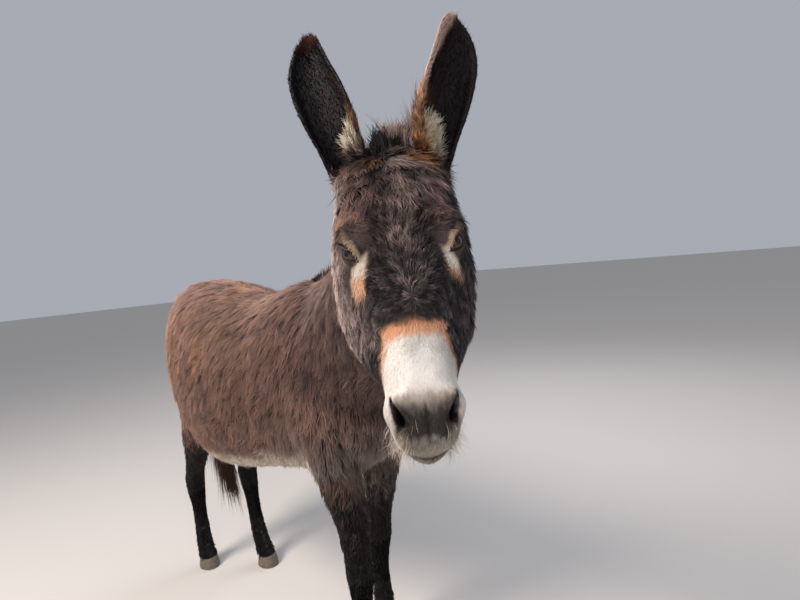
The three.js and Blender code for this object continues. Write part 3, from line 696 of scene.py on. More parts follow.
    # Painted shade: the lower part of the white muzzle is laid greyer for the shade under the light from
    # above.
    lay(muzzle * smooth_step(0.39, 0.425, down) * 0.55, "#a3978a", "#d8cdc0")
    fine = 0.010 * (noise(q * [1, 1, 0.3], 0.0035, 17) - 0.5)
    tan = smooth_step(0.398, 0.414, down + fine) * smooth_step(0.440, 0.420, down + fine)
    tan = tan * smooth_step(0.050, 0.036, across)
    lay(0.55 * tan * on_head, "#6b5442", "#ac927a")
    nose = smooth_step(0.410, 0.440, down + fine + 0.25 * across) * smooth_step(0.496, 0.458, down + fine)
    nose = nose * smooth_step(0.050, 0.040, across) * smooth_step(0.012, -0.004, q[:, 1])
    lay(nose * on_head, "#181412", "#463e38")
    chin = smooth_step(0.458, 0.494, down + fine)
    lay(0.9 * chin * on_head, "#514740", "#b0a393")
    beside_chin = 0.6 * smooth_step(0.440, 0.465, down) * smooth_step(0.024, 0.044, across)
    lay(beside_chin * on_head, "#9a8d7e", "#dccfbe")
    parting = 0.7 * on_head * np.exp(-(q[:, 0] / 0.0035) ** 2) * smooth_step(0.415, 0.435, down)
    lay(parting * smooth_step(0.480, 0.465, down), "#0f0c0b", "#221d1a")
    slit = np.abs((q - MOUTH) @ MOUTH_ACROSS)
    lay(0.8 * smooth_step(0.008, 0.003, slit) * chin * on_head, "#1a1614", "#3a322c")

    # Round the eyes: a narrow tan band, then a white patch and an orange one below the inner corner.
    eyes = on_left(q) - EYE
    distance = np.linalg.norm(eyes, axis=1)
    ahead = (unit(eyes) @ EYE_WAY)
    polar = np.arccos(np.clip(ahead, -1, 1))
    turn = np.arctan2(eyes @ EYE_UP, eyes @ EYE_LONG)
    opening, _, edge = lid_edge()
    order = np.argsort(opening)
    beyond = (polar - np.interp(turn, opening[order], edge[order], period=2 * math.pi)) * EYE_RADIUS
    near_eye = (distance < 0.040) * on_head
    band = smooth_step(0.0130, 0.0095, beyond + 0.004 * (noise(q, 0.006, 7) - 0.5)) * near_eye
    upper, inward = smooth_step(-0.3, 0.3, np.sin(turn)), smooth_step(-0.7, 0.3, np.cos(turn))
    lay(band * upper * (0.60 + 0.35 * inward), "#80695a", "#d3b8a0")
    lay(0.5 * band * (1 - upper), "#3a2e28", "#a3948a")
    inner_line = np.interp(down, [0.165, 0.18, 0.19, 0.205, 0.226, 0.26],
                           [0.060, 0.053, 0.0515, 0.053, 0.057, 0.067])
    outer_line = np.interp(down, [0.185, 0.20, 0.215, 0.235, 0.262], [0.062, 0.074, 0.084, 0.089, 0.082])
    strip = smooth_step(-0.002, 0.005, across - inner_line) * smooth_step(-0.002, 0.007, outer_line - across)
    strip = strip * on_head * smooth_step(0.055, 0.025, q[:, 1])             # not on the back of the jaw
    lowest = np.where(q[:, 0] < 0, 0.258, 0.240)
    lay(strip * smooth_step(0.194, 0.202, down) * smooth_step(0, -0.020, down - lowest), "#bf8f6b", "#f6caa9")
    lay(strip * smooth_step(0.188, 0.198, down) * smooth_step(0.228, 0.212, down), "#cdbfab", "#fff6e6")
    beside = strip * smooth_step(0.0075, 0.0030, across - inner_line)
    beside = beside * smooth_step(0.186, 0.194, down) * smooth_step(0.240, 0.222, down)
    lay(0.75 * beside, "#8a6348", "#cfa283")
    below_eye = strip * smooth_step(0.190, 0.205, down) * smooth_step(0.268, 0.250, down)
    lid_skin = smooth_step(0.0028, 0.0012, beyond - 0.0018 * upper) * (distance < 0.030) * on_head
    lay(lid_skin, "#140f0d", "#1e1714")

    from_nostril = on_left(q) - NOSTRIL
    along, sideways = from_nostril @ NOSTRIL_LONG / NOSTRIL_HALF, from_nostril @ NOSTRIL_ACROSS
    within = np.clip(along, -1, 1)
    half = NOSTRIL_WIDE * (0.58 + 0.42 * within)
    rim_gap = np.abs(sideways - NOSTRIL_BOW * (1 - within ** 2)) - half
    near = (np.linalg.norm(from_nostril, axis=1) < 0.036) & (from_nostril @ NOSTRIL_WAY < 0.010) & on_head
    nostril = smooth_step(0.0025, 0.0, rim_gap) * smooth_step(1.10, 1.0, np.abs(along)) * near
    lay(nostril, "#0f0b0a", "#1c1614")
    streaks = noise(points * [1, 1, 0.45] + points[:, [2]] * [0, 0.35, 0], 0.030, 1) + noise(points, 0.11, 14)
    shade = 0.58 + 0.34 * streaks + 0.20 * noise(points, 0.016, 2)
    return roots * shade[:, None], tips * shade[:, None], below_eye, lid_skin, nostril, distance


root_colour, tip_colour, below_eye, lid_skin, nostril_skin, eye_distance = markings()
# No tufts on the lids, in the nostrils or between the lips, and short ones close to them.
bare = np.maximum(lid_skin, nostril_skin)
close = smooth_step(0.052, 0.027, eye_distance) * on_head
coat[:, :2] += ([4.2, 0.75] - coat[:, :2]) * close[:, None] * 0.85
coat[:, 2:] += ([48, 15] - coat[:, 2:]) * close[:, None]
coat += (np.array([8.5, 0.9, 46, 15]) - coat) * below_eye[:, None]
inside_mouth = (np.abs((q - MOUTH) @ MOUTH_ACROSS) < 0.0022) & (q[:, 2] < -0.45)
coat[:, 2] *= (1 - bare) * ~inside_mouth

# ---- The hide's material -----------------------------------------------------------------------
# What shows of the skin between and below the tufts, and on the bare lids, nostrils and lips. It is coloured
# by the markings, and its unwrap also gives each tuft its place.


def node_of(tree, kind, at, label, inputs=None, **settings):
    """One shader node of any kind, with its settings and the values or links of its inputs."""
    node = tree.nodes.new(kind)
    node.location, node.label = at, label
    for name, value in settings.items():
        setattr(node, name, value)
    for name, value in (inputs or {}).items():
        if isinstance(value, bpy.types.NodeSocket):
            tree.links.new(value, node.inputs[name])
        else:
            node.inputs[name].default_value = value
    return node


def material(name, **shader):
    made = bpy.data.materials.new(name)
    made.use_nodes = True
    tree = made.node_tree
    principled = tree.nodes["Principled BSDF"]
    for socket, value in shader.items():
        principled.inputs[socket.replace("_", " ")].default_value = value
    return made, tree, principled


def paint(mesh, name, colours):
    layer = mesh.color_attributes.new(name, "FLOAT_COLOR", "POINT")
    rgba = np.ones((len(mesh.vertices), 4), np.float32)
    rgba[:, :3] = np.clip(colours, 0, 1)
    layer.data.foreach_set("color", rgba.ravel())


# Hide: the grey-brown skin under the hair with the short flat under-coat on it, its grain running in fine
# bumps; bare and dark on the lids, nostrils and lips.
hide, tree, principled = material("hide_under_short_hair", Roughness=0.72, Specular_IOR_Level=0.3)
colour = node_of(tree, "ShaderNodeVertexColor", (-700, 200), "markings", layer_name="Markings")
tree.links.new(colour.outputs["Color"], principled.inputs["Base Color"])
place = node_of(tree, "ShaderNodeTexCoord", (-1100, -200), "place on the body")
fine = node_of(tree, "ShaderNodeTexNoise", (-800, -200), "fine hair grain",
               {"Vector": place.outputs["Object"], "Scale": 900.0, "Detail": 3.0, "Roughness": 0.6})
bump = node_of(tree, "ShaderNodeBump", (-400, -200), "grain as relief",
               {"Height": fine.outputs["Fac"], "Strength": 0.35, "Distance": 0.0006})
tree.links.new(bump.outputs["Normal"], principled.inputs["Normal"])

short = smooth_step(9, 3, coat[:, 0])[:, None]
hide_colour = root_colour * (1 - short) * 0.8 + (0.35 * root_colour + 0.65 * tip_colour) * short
hide_colour = hide_colour * (1 - bare[:, None]) + root_colour * bare[:, None]
paint(mesh, "Markings", hide_colour)
mesh.materials.clear()
mesh.materials.append(hide)

# The hide's unwrap, which also places each tuft's patch.
bpy.context.view_layer.objects.active = skin
skin.select_set(True)
bpy.ops.object.mode_set(mode="EDIT")
bpy.ops.mesh.select_all(action="SELECT")
bpy.ops.uv.smart_project(angle_limit=math.radians(66), island_margin=0.002)
bpy.ops.object.mode_set(mode="OBJECT")
mesh = skin.data
mesh.uv_layers[0].name = "OFBake"
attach(skin, "root")
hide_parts(*ALL_FLESH)

# ---- The coat ----------------------------------------------------------------------------------
# Winter hair in thousands of small tapered tufts over the hide, each following the lie of the coat: closed
# three-sided spikes where the hair is longest or velvet-short, and locks bent once on the hair of middle
# length.

RNG = np.random.default_rng(11)


def scattered(share, least, most):
    """Roots of tufts over the hide: face indices and weights of their corners, for tufts of these lengths."""
    corners = read(mesh.polygons, "vertices", 3, np.int32)
    areas = np.linalg.norm(np.cross(points[corners[:, 1]] - points[corners[:, 0]],
                                    points[corners[:, 2]] - points[corners[:, 0]]), axis=1) / 2
    density = coat[corners, 2].mean(1) * share
    length = coat[corners, 0].mean(1)
    wanted = areas * ACROSS_CM2 * density * (length >= least) * (length < most)
    cell = np.floor((points[corners].mean(1) + 3) / 0.04).astype(int)
    order = np.lexsort((cell[:, 0], cell[:, 2], cell[:, 1]))
    total = np.cumsum(wanted[order])
    count = int(total[-1])
    picks = np.searchsorted(total, (np.arange(count) + RNG.random(count)) * total[-1] / count)
    faces = order[np.minimum(picks, len(order) - 1)]
    u, v = RNG.random((2, count))
    flip = u + v > 1
    u, v = np.where(flip, 1 - u, u), np.where(flip, 1 - v, v)
    return faces, corners[faces], np.stack([1 - u - v, u, v], 1)


def blended(values, corners, weights):
    return np.einsum("nk,nkd->nd", weights, values[corners].reshape(*corners.shape, -1))


def rooted(share, least, most):
    """What each tuft takes from the hide at its root."""
    faces, corners, weights = scattered(share, least, most)
    at = blended(points, corners, weights)
    out = unit(blended(normals, corners, weights))
    way = blended(flow, corners, weights)
    length, width, _, rise = blended(coat, corners, weights).T
    unwrap = read(mesh.uv_layers["OFBake"].data, "uv", 2).reshape(-1, 3, 2)
    patch = np.einsum("nk,nkd->nd", weights, unwrap[faces])
    return dict(at=at, out=out, way=way, length=length / 1000, width=width / 1000, rise=np.radians(rise),
                patch=patch, root=blended(root_colour, corners, weights),
                tip=blended(tip_colour, corners, weights))


def turned(vectors, about, angle):
    c, s = np.cos(angle)[:, None], np.sin(angle)[:, None]
    return vectors * c + np.cross(about, vectors) * s


CELL_KEY = [1, 1009, 1009 * 1009]              # makes one number of a cell's three


def gathered(t, apart, pull, tone, loose=1):
    """Draws tufts together into locks this far apart; each lock has a lean, wave and shade of its own."""
    at = t["at"]
    cells = np.floor(at / apart + 50).astype(int) @ CELL_KEY
    _, centres = np.unique(cells, return_index=True)
    tree = KDTree(len(centres))
    for i, centre in enumerate(centres):
        tree.insert(at[centre], i)
    tree.balance()
    lock = np.array([tree.find(point)[1] for point in at])
    toward = at[centres[lock]] - at
    t["pull"] = (toward - t["out"] * (toward * t["out"]).sum(1)[:, None]) * pull
    own = np.clip(RNG.normal(0, 1, (len(centres), 4)), -2.2, 1.4)[lock]
    tone = tone / (1 + 3 * t["tip"].mean(1))       # pale hair varies less from lock to lock than dark hair
    t["lean"], t["wave"] = 0.22 * own[:, 0], 0.10 * own[:, 1]
    t["tone"], t["lift"] = tone * own[:, 2], 0.14 * loose * own[:, 3]
    return t


def locks(t, stops, taper, ragged=0.13, curl=0.07, droop=0.5, thick=0.5, swirl=0.6, relief=0.10, fade=1.1):
    """Closed three-sided locks as arrays: their points, faces, colours and patches.

    stops is where along a lock its rings stand, and taper how wide each is; the last one is the point."""
    count = len(t["at"])
    clump = noise(t["at"], 0.018, 21) - 0.5
    wide = noise(t["at"], 0.06, 22) - 0.5
    way = unit(t["way"] - t["out"] * (t["way"] * t["out"]).sum(1)[:, None])
    way = turned(way, t["out"], swirl * (clump + wide) + t.get("lean", 0) + RNG.normal(0, ragged, count))
    side = np.cross(t["out"], way)
    length = t["length"] * np.exp(np.clip(RNG.normal(0, 0.22, count), -0.6, 0.3)) * (1 + 0.5 * clump)
    uneven = 1 + 0.7 * (noise(t["at"], 0.03, 23) - 0.5)
    rise = t["rise"] * uneven + t.get("lift", 0) + RNG.normal(0, 0.08, count)
    bend = RNG.normal(0, curl, count)
    width = t["width"] * RNG.uniform(0.7, 1.35, count)
    shade = np.exp(RNG.normal(0, 0.12, count) + t.get("tone", 0))[:, None]
    pull, wave = t.get("pull", np.zeros((count, 3))), t.get("wave", np.zeros(count))
    warm = 1 + RNG.normal(0, 0.04, (count, 1)) * np.array([1, 0, -1])
    coords, colours, patches = [], [], []
    for stop, broad in zip(stops, taper):
        up = np.sin(rise) * stop - droop * np.sin(np.maximum(rise, 0)) * stop ** 2
        line = (t["at"] - t["out"] * np.minimum(0.0012, 0.05 * length)[:, None]
                + way * (np.cos(rise) * stop * length)[:, None]
                + t["out"] * (up * length)[:, None] + pull * stop ** 1.3
                + side * ((bend * stop ** 2 + wave * math.sin(4.5 * stop)) * length)[:, None])
        half = side * (width * broad / 2)[:, None]
        ridge = t["out"] * (width * broad * thick)[:, None]
        across = [-1, 1, 0] if broad else [0]
        for edge in across:
            coords.append(line + half * edge + (ridge if edge == 0 and broad else 0))
            mixed = t["root"] + (t["tip"] - t["root"]) * stop ** fade
            # Painted light: each lock's ridge is painted brighter and its two edges darker by this share, a
            # painted highlight and shade.
            colours.append(mixed * shade * warm * (1 + relief if edge == 0 else 1 - relief))
            patches.append(t["patch"] + np.array([edge * 0.0012, (stop - 0.5) * 0.0028]))
    rings = len(stops) - 1
    faces = [(0, 2, 1)]
    for r in range(rings - 1):
        a, b = 3 * r, 3 * r + 3
        for i, j in ((0, 1), (1, 2), (2, 0)):
            faces += [(a + i, a + j, b + j), (a + i, b + j, b + i)]
    last, point = 3 * (rings - 1), 3 * rings
    faces += [(last + i, last + j, point) for i, j in ((0, 1), (1, 2), (2, 0))]
    each = point + 1
    coords = np.stack(coords, 1).reshape(-1, 3)
    faces = (np.array(faces)[None] + np.arange(count)[:, None, None] * each).reshape(-1, 3)
    return coords, faces, np.stack(colours, 1).reshape(-1, 3), np.stack(patches, 1).reshape(-1, 2)


def laid_as(name, finish, slot, coords, faces, colours, patches, hides=()):
    """One piece of hair from arrays, riding with the animal."""
    piece_mesh = bpy.data.meshes.new(name)
    piece_mesh.vertices.add(len(coords))
    piece_mesh.loops.add(len(faces) * 3)
    piece_mesh.polygons.add(len(faces))
    piece_mesh.vertices.foreach_set("co", coords.astype(np.float32).ravel())
    piece_mesh.polygons.foreach_set("loop_start", np.arange(len(faces), dtype=np.int32) * 3)
    piece_mesh.loops.foreach_set("vertex_index", faces.astype(np.int32).ravel())
    piece_mesh.update(calc_edges=True)
    piece_mesh.polygons.foreach_set("use_smooth", np.zeros(len(faces), bool))
    layer = piece_mesh.uv_layers.new(name="OFBake")
    layer.data.foreach_set("uv", patches[faces.ravel()].astype(np.float32).ravel())
    paint(piece_mesh, "Markings", colours)
    piece_mesh.materials.append(finish)
    piece = set_down(name, piece_mesh)
    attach(piece, "root")
    if hides:
        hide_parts(*hides)
    return piece


MOST_TRIANGLES = 190000                      # in one piece of the coat


def in_pieces(name, finish, t, stops, taper, **shape):
    """Tufts split into pieces of fewer than 200,000 triangles."""
    coords, faces, colours, patches = locks(t, stops, taper, **shape)
    count = len(t["at"])
    per_tuft, each = len(faces) // count, len(coords) // count
    parts = math.ceil(len(faces) / MOST_TRIANGLES)
    for i, tufts in enumerate(np.array_split(np.arange(count), parts)):
        f = faces[tufts[0] * per_tuft:(tufts[-1] + 1) * per_tuft] - tufts[0] * each
        p = slice(tufts[0] * each, (tufts[-1] + 1) * each)
        laid_as(f"{name}_{i + 1}", finish, "coat", coords[p], f, colours[p], patches[p])


def hair_finish(name, roughness, gloss):
    """A hair material, coloured by the markings."""
    finish, tree, principled = material(name, Roughness=roughness, Specular_IOR_Level=gloss)
    colour = node_of(tree, "ShaderNodeVertexColor", (-500, 200), "dark at the root", layer_name="Markings")
    tree.links.new(colour.outputs["Color"], principled.inputs["Base Color"])
    return finish


# Coat hair: thick winter hair with a soft gloss, so that locks catch the sky along their backs.
winter_hair = hair_finish("winter_coat_hair", 0.48, 0.24)
# Velvet: the short matt hair of the muzzle, the ears and round the eyes.
velvet_hair = hair_finish("velvet_hair", 0.7, 0.02)

AMOUNT = 1.0
SPIKE = dict(stops=(0, 1), taper=(1, 0))                   # one straight point
# The locks' ridge share is painted light: ridges painted brighter than their edges.
LOCK = dict(stops=(0, 0.5, 1), taper=(1, 0.8, 0), relief=0.2, fade=1.7)          # bent once, fuller
# Each kind takes the hide's tufts between two lengths in mm, then gathers them: how far apart, how strongly.
body = gathered(rooted(AMOUNT, 34, 999), 0.022, 0.30, 0.17)
in_pieces("coat_body", winter_hair, body, **SPIKE)
shaggy = gathered(rooted(0.92 * AMOUNT, 20, 34), 0.014, 0.6, 0.66)
in_pieces("coat_shaggy", winter_hair, shaggy, **LOCK)
face = gathered(rooted(0.96 * AMOUNT, 12, 20), 0.010, 0.65, 0.72)
in_pieces("coat_face", winter_hair, face, **LOCK)
velvet = gathered(rooted(AMOUNT, 0, 12), 0.004, 0.2, 0.05, 0.3)
in_pieces("coat_velvet", velvet_hair, velvet, **SPIKE, droop=0.2, thick=0.3, relief=0.03)

# ---- The eyes ----------------------------------------------------------------------------------
# Two glossy dark brown eyeballs, set under the lids: a clear bulging front over a level oval pupil.

def eyeball(side, flip):
    around = np.linspace(0, 2 * math.pi, 64, endpoint=False)
    polar = np.concatenate([np.linspace(0.02, 0.75, 30), np.linspace(0.80, math.pi - 0.02, 22)])
    rings = []
    for p in polar:
        out = EYE_RADIUS - 0.0006 + 0.0012 * smooth_step(0.72, 0.25, p)
        sideways = np.cos(around)[:, None] * EYE_LONG + np.sin(around)[:, None] * EYE_UP
        rings.append(EYE + out * (math.cos(p) * EYE_WAY + math.sin(p) * sideways))
    rings = np.array(rings)
    piece = lofted("eyeball_" + side, from_head(rings * flip))
    piece.data.polygons.foreach_set("use_smooth", np.ones(len(piece.data.polygons), bool))
    q = in_head(points_of(piece.data)) * flip - EYE
    ahead = unit(q) @ EYE_WAY
    long, up = unit(q) @ EYE_LONG * EYE_RADIUS, unit(q) @ EYE_UP * EYE_RADIUS
    p = np.arccos(np.clip(ahead, -1, 1))
    grain = noise(np.stack([np.arctan2(up, long) * 14, p * 8, 0 * p], 1), 1.0, 31)
    iris = linear("#2b1b11") * (1 - grain[:, None]) + linear("#5f4530") * grain[:, None]
    share = smooth_step(0.70, 0.62, p)[:, None]
    colours = linear("#2a1c18") * (1 - share) + iris * share
    pupil = smooth_step(1.15, 0.9, np.hypot(long / 0.0072, up / 0.0038))[:, None]
    colours = colours * (1 - pupil) + linear("#040303") * pupil
    paint(piece.data, "Markings", colours)
    piece.data.materials.clear()
    piece.data.materials.append(eye_gloss)
    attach(piece, "root")
    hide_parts("eye_" + side)


# Eye: wet and dark, with a sharp highlight from its clear front.
eye_gloss, tree, principled = material("wet_dark_eye", Roughness=0.25, Specular_IOR_Level=0.15,
                                       Coat_Weight=0.6, Coat_Roughness=0.03)
colour = node_of(tree, "ShaderNodeVertexColor", (-500, 200), "iris and pupil", layer_name="Markings")
tree.links.new(colour.outputs["Color"], principled.inputs["Base Color"])
for side, flip in MIRROR.items():
    eyeball(side, flip)

# ---- The hooves --------------------------------------------------------------------------------
# Four small upright donkey hooves of grey-brown horn, with growth rings and a flat ground edge.

# Horn: dull grey-brown with fine upright grain.
horn, tree, principled = material("hoof_horn", Roughness=0.55, Specular_IOR_Level=0.4)
place = node_of(tree, "ShaderNodeTexCoord", (-1200, 0), "place")
stretch = node_of(tree, "ShaderNodeMapping", (-1000, 0), "grain runs up the hoof",
                  {"Vector": place.outputs["Object"], "Scale": (420, 420, 30)})
grain = node_of(tree, "ShaderNodeTexNoise", (-800, 0), "horn grain",
                {"Vector": stretch.outputs["Vector"], "Scale": 1.0, "Detail": 4.0})
ramp = node_of(tree, "ShaderNodeValToRGB", (-550, 0), "horn colours", {"Fac": grain.outputs["Fac"]})
ramp.color_ramp.elements[0].color = (*linear("#3f372f"), 1)
ramp.color_ramp.elements[1].color = (*linear("#857869"), 1)
tree.links.new(ramp.outputs["Color"], principled.inputs["Base Color"])
bump = node_of(tree, "ShaderNodeBump", (-300, -200), "grain as relief",
               {"Height": grain.outputs["Fac"], "Strength": 0.4, "Distance": 0.0008})
tree.links.new(bump.outputs["Normal"], principled.inputs["Normal"])


def hoof(name):
    """A finer hoof on the CAD hoof's own outline, with growth rings."""
    shell = BVHTree.FromObject(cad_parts[name], bpy.context.evaluated_depsgraph_get())
    low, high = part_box(name)
    top = high[2] - 0.001
    rings = []
    for level in np.concatenate([np.linspace(low[2] + 0.0001, top, 26), [top + 0.0005]]):
        leaning = 0.010 * (level - low[2]) / (top - low[2])
        centre = np.array([(low[0] + high[0]) / 2, (low[1] + high[1]) / 2 + leaning, min(level, top)])
        ring = []
        for angle in np.linspace(0, 2 * math.pi, 64, endpoint=False):
            way = np.array([math.cos(angle), math.sin(angle), 0])
            hit = shell.ray_cast(tuple(centre + way * 0.12), tuple(-way), 0.12)[0]
            reach = np.linalg.norm(np.array(hit) - centre) if hit else 0.02
            groove = 0.0006 * math.sin(level * 2 * math.pi / 0.0075 + 0.6 * math.sin(angle))
            ring.append(centre + way * (reach - 0.0014 + groove * (low[2] + 0.006 < level < top)))
        rings.append(ring)
    rings = spread_rings(np.array(rings))
    piece = lofted(name + "_horn", rings)
    rounded = [polygon.normal.z > -0.9 for polygon in piece.data.polygons]
    piece.data.polygons.foreach_set("use_smooth", rounded)
    piece.data.materials.clear()
    piece.data.materials.append(horn)
    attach(piece, "root")
    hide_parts(name)


def spread_rings(rings):
    """Rounds the corners of each ring of points, keeping its level."""
    for _ in range(3):
        rings = (rings + np.roll(rings, 1, 1) + np.roll(rings, -1, 1)) / 3
    return rings


for name in ("forehoof_left", "forehoof_right", "hindhoof_left", "hindhoof_right"):
    hoof(name)

# ---- The mane, forelock and tail tuft ------------------------------------------------------------
# Long coarse hair: the upright mane along the crest, the forelock between the ears, and the red-brown tuft of
# the tail. Each lock is a closed three-sided strand, bent along its length.

# Long hair: coarse and dull, a little rougher than the coat.
long_hair = hair_finish("coarse_long_hair", 0.55, 0.2)

hide_faces = [tuple(polygon.vertices) for polygon in mesh.polygons]
hide_tree = BVHTree.FromPolygons([tuple(p) for p in points], hide_faces)


def strands(at, out, way, length, width, rise, root, tip):
    """Roots for locks that stand where they are told, with the patch of the nearest hide."""
    unwrap = read(mesh.uv_layers["OFBake"].data, "uv", 2).reshape(-1, 3, 2)
    patch = unwrap[[hide_tree.find_nearest(tuple(p))[2] for p in at]].mean(1)
    return dict(at=at, out=unit(out), way=unit(way), length=length, width=width,
                rise=np.radians(rise), root=root, tip=tip, patch=patch)


def mane():
    """Upright locks from the hide to the top of the mane solid, in a broad row along the crest."""
    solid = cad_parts["mane"].data
    corners = np.array([tuple(vertex.co) for vertex in solid.vertices])
    faces = np.array([tuple(polygon.vertices)[:3] for polygon in solid.polygons])
    first, second, third = corners[faces].transpose(1, 0, 2)
    areas = np.linalg.norm(np.cross(second - first, third - first), axis=1)
    count = 7000
    picks = RNG.choice(len(faces), count, p=areas / areas.sum())
    weights = RNG.dirichlet((1, 1, 1), count)
    tops = np.einsum("nk,nkd->nd", weights, corners[faces[picks]])
    at, way, length, out = [], [], [], []
    for top in tops:
        foot, normal, _, _ = hide_tree.find_nearest(tuple(top))
        reach = (Vector(top) - foot).length
        if reach < 0.006:
            continue
        at.append(foot)
        out.append(normal)
        way.append((Vector(top) - foot) / reach)
        length.append(reach)
    at, out, way, length = (np.array(values, float) for values in (at, out, way, length))
    q = in_head(at)
    share = smooth_step(-0.02, 0.10, q[:, 1])[:, None]
    root = linear("#140e0d") * (1 - share) + linear("#2c1f1c") * share
    tip = linear("#352723") * (1 - share) + linear("#7c5a50") * share
    t = strands(at, out, way, length * RNG.uniform(0.82, 1.0, len(at)), 0.0026, 2, root, tip)
    t["out"], t["way"] = unit(np.cross(way, np.cross(out, way) + [1e-5, 0, 0])), way
    hair = locks(t, (0, 0.35, 0.7, 1), (1, 0.9, 0.6, 0), ragged=0.10, curl=0.06, swirl=0.3)
    laid_as("mane_hair", long_hair, "long_hair", *hair, hides=["mane"])


mane()


def forelock():
    """The hair that stands up between the ears: a black tuft, then rosy-brown locks by the left ear."""
    for name, sides, depths, tallest, root, tip in (
            ("black", (-0.024, 0.014), (-0.026, 0.022), 0.056, "#030202", "#0c0a0a"),
            ("rosy", (0.010, 0.066), (-0.016, 0.045), 0.080, "#2b1d1a", "#866b63")):
        count = 3000
        x, y = RNG.uniform(*sides, count), RNG.uniform(*depths, count)
        at, out = [], []
        for start in from_head(np.stack([x, y, np.full(count, 0.25)], 1)):
            hit, normal, _, _ = hide_tree.ray_cast(tuple(start), tuple(-HEAD_AXES[:, 2]), 0.5)
            at.append(hit)
            out.append(normal)
        at, out = np.array(at, float), np.array(out, float)
        off_middle = 2 * (x - sides[0]) / (sides[1] - sides[0]) - 1
        if name == "rosy":
            off_middle = np.minimum(off_middle, 0)             # tallest at the ear's side
        lean = np.stack([(x - sum(sides) / 2) * 4 + 0.1, 0.12 + 0 * x, 1 + 0 * x], 1) @ HEAD_AXES.T
        length = tallest * RNG.uniform(0.62, 1.0, count) * (1 - 0.45 * np.abs(off_middle) ** 1.6)
        t = strands(at, out, unit(lean + RNG.normal(0, 0.07, (count, 3))), length, 0.0019, 2,
                    np.tile(linear(root), (count, 1)), np.tile(linear(tip), (count, 1)))
        t["out"] = unit(np.cross(t["way"], np.cross(out, t["way"]) + [1e-5, 0, 0]))
        gathered(t, 0.008, 0.6, 0.24)
        t["lean"] *= 0.5
        hair = locks(t, (0, 0.5, 1), (1, 0.9, 0), ragged=0.06, curl=0.10, swirl=0.3)
        laid_as("forelock_" + name, long_hair, "long_hair", *hair)


forelock()


def tail_tuft():
    """The tail's long hair, from round the end of the dock down through the tuft's solid."""
    corners = np.array([tuple(vertex.co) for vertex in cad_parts["tail_switch"].data.vertices])
    low, high = corners[:, 2].min(), corners[:, 2].max()
    stations = np.linspace(low, high, 12)
    line = np.array([corners[np.abs(corners[:, 2] - level) < 0.03][:, :2].mean(0) for level in stations])
    solid = BVHTree.FromObject(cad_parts["tail_switch"], bpy.context.evaluated_depsgraph_get())
    count = 2600
    at, out, length = [], [], []
    for level in high - 0.004 - (high - low) * RNG.beta(1.0, 2.2, count) * 0.75:
        angle = RNG.uniform(0, 2 * math.pi)
        centre = np.array([*(np.interp(level, stations, column) for column in line.T), level])
        sideways = np.array([math.cos(angle), math.sin(angle), 0])
        hit = solid.ray_cast(tuple(centre + sideways * 0.2), tuple(-sideways), 0.2)[0]
        if hit is None:
            continue
        at.append(centre + (np.array(hit) - centre) * RNG.uniform(0.2, 0.85))
        out.append(sideways)
        length.append(min(RNG.uniform(0.10, 0.26), level - low - 0.002))
    for i in RNG.choice(np.flatnonzero(on_dock & (height < high + 0.10)), count // 3):
        at.append(points[i])
        out.append(normals[i] * [1, 1, 0] + [0, 0.01, 0])
        length.append(RNG.uniform(0.10, 0.20))
    at, out, length = (np.array(values, float) for values in (at, out, length))
    ahead = np.stack([np.interp(at[:, 2] - length * 0.6, stations, column) for column in line.T], 1)
    behind = np.stack([np.interp(np.minimum(at[:, 2], high), stations, column) for column in line.T], 1)
    way = unit(np.concatenate([ahead - behind, -0.6 * length[:, None]], 1))
    shade = RNG.random((len(at), 1))
    root = linear("#24150f") * shade + linear("#15100e") * (1 - shade)
    tip = linear("#6b4a3a") * shade + linear("#453229") * (1 - shade)
    t = strands(at, out, way, length, 0.0026, 2, root, tip)
    hair = locks(t, (0, 0.3, 0.65, 1), (1, 0.9, 0.6, 0), ragged=0.03, curl=0.03, swirl=0.1)
    laid_as("tail_tuft", long_hair, "long_hair", *hair, hides=["tail_switch"])


tail_tuft()

# ---- The whiskers and lashes ---------------------------------------------------------------------
# Single stiff hairs: pale feelers on the lips, chin and muzzle, and a dark fringe on the upper lids. Each is
# a thin closed strand rooted in the hide.


def whiskers():
    """Scattered pale feelers on the muzzle and chin."""
    share = smooth_step(0.43, 0.475, -q[:, 2]) * on_head * (1 - nostril_skin)
    share = share * (0.03 + smooth_step(0.018, 0.038, np.abs(q[:, 0])))
    ids = RNG.choice(len(points), 420, p=share / share.sum())
    n = normals[ids]
    way = unit(flow[ids] * 0.5 + n)
    t = strands(points[ids], n, way, RNG.uniform(0.010, 0.046, len(ids)), 0.0006, 60,
                0.6 * tip_colour[ids], np.tile(linear("#e6dac6"), (len(ids), 1)))
    laid_as("whiskers", long_hair, "long_hair", *locks(t, (0, 0.5, 1), (1, 0.7, 0), curl=0.15))


whiskers()


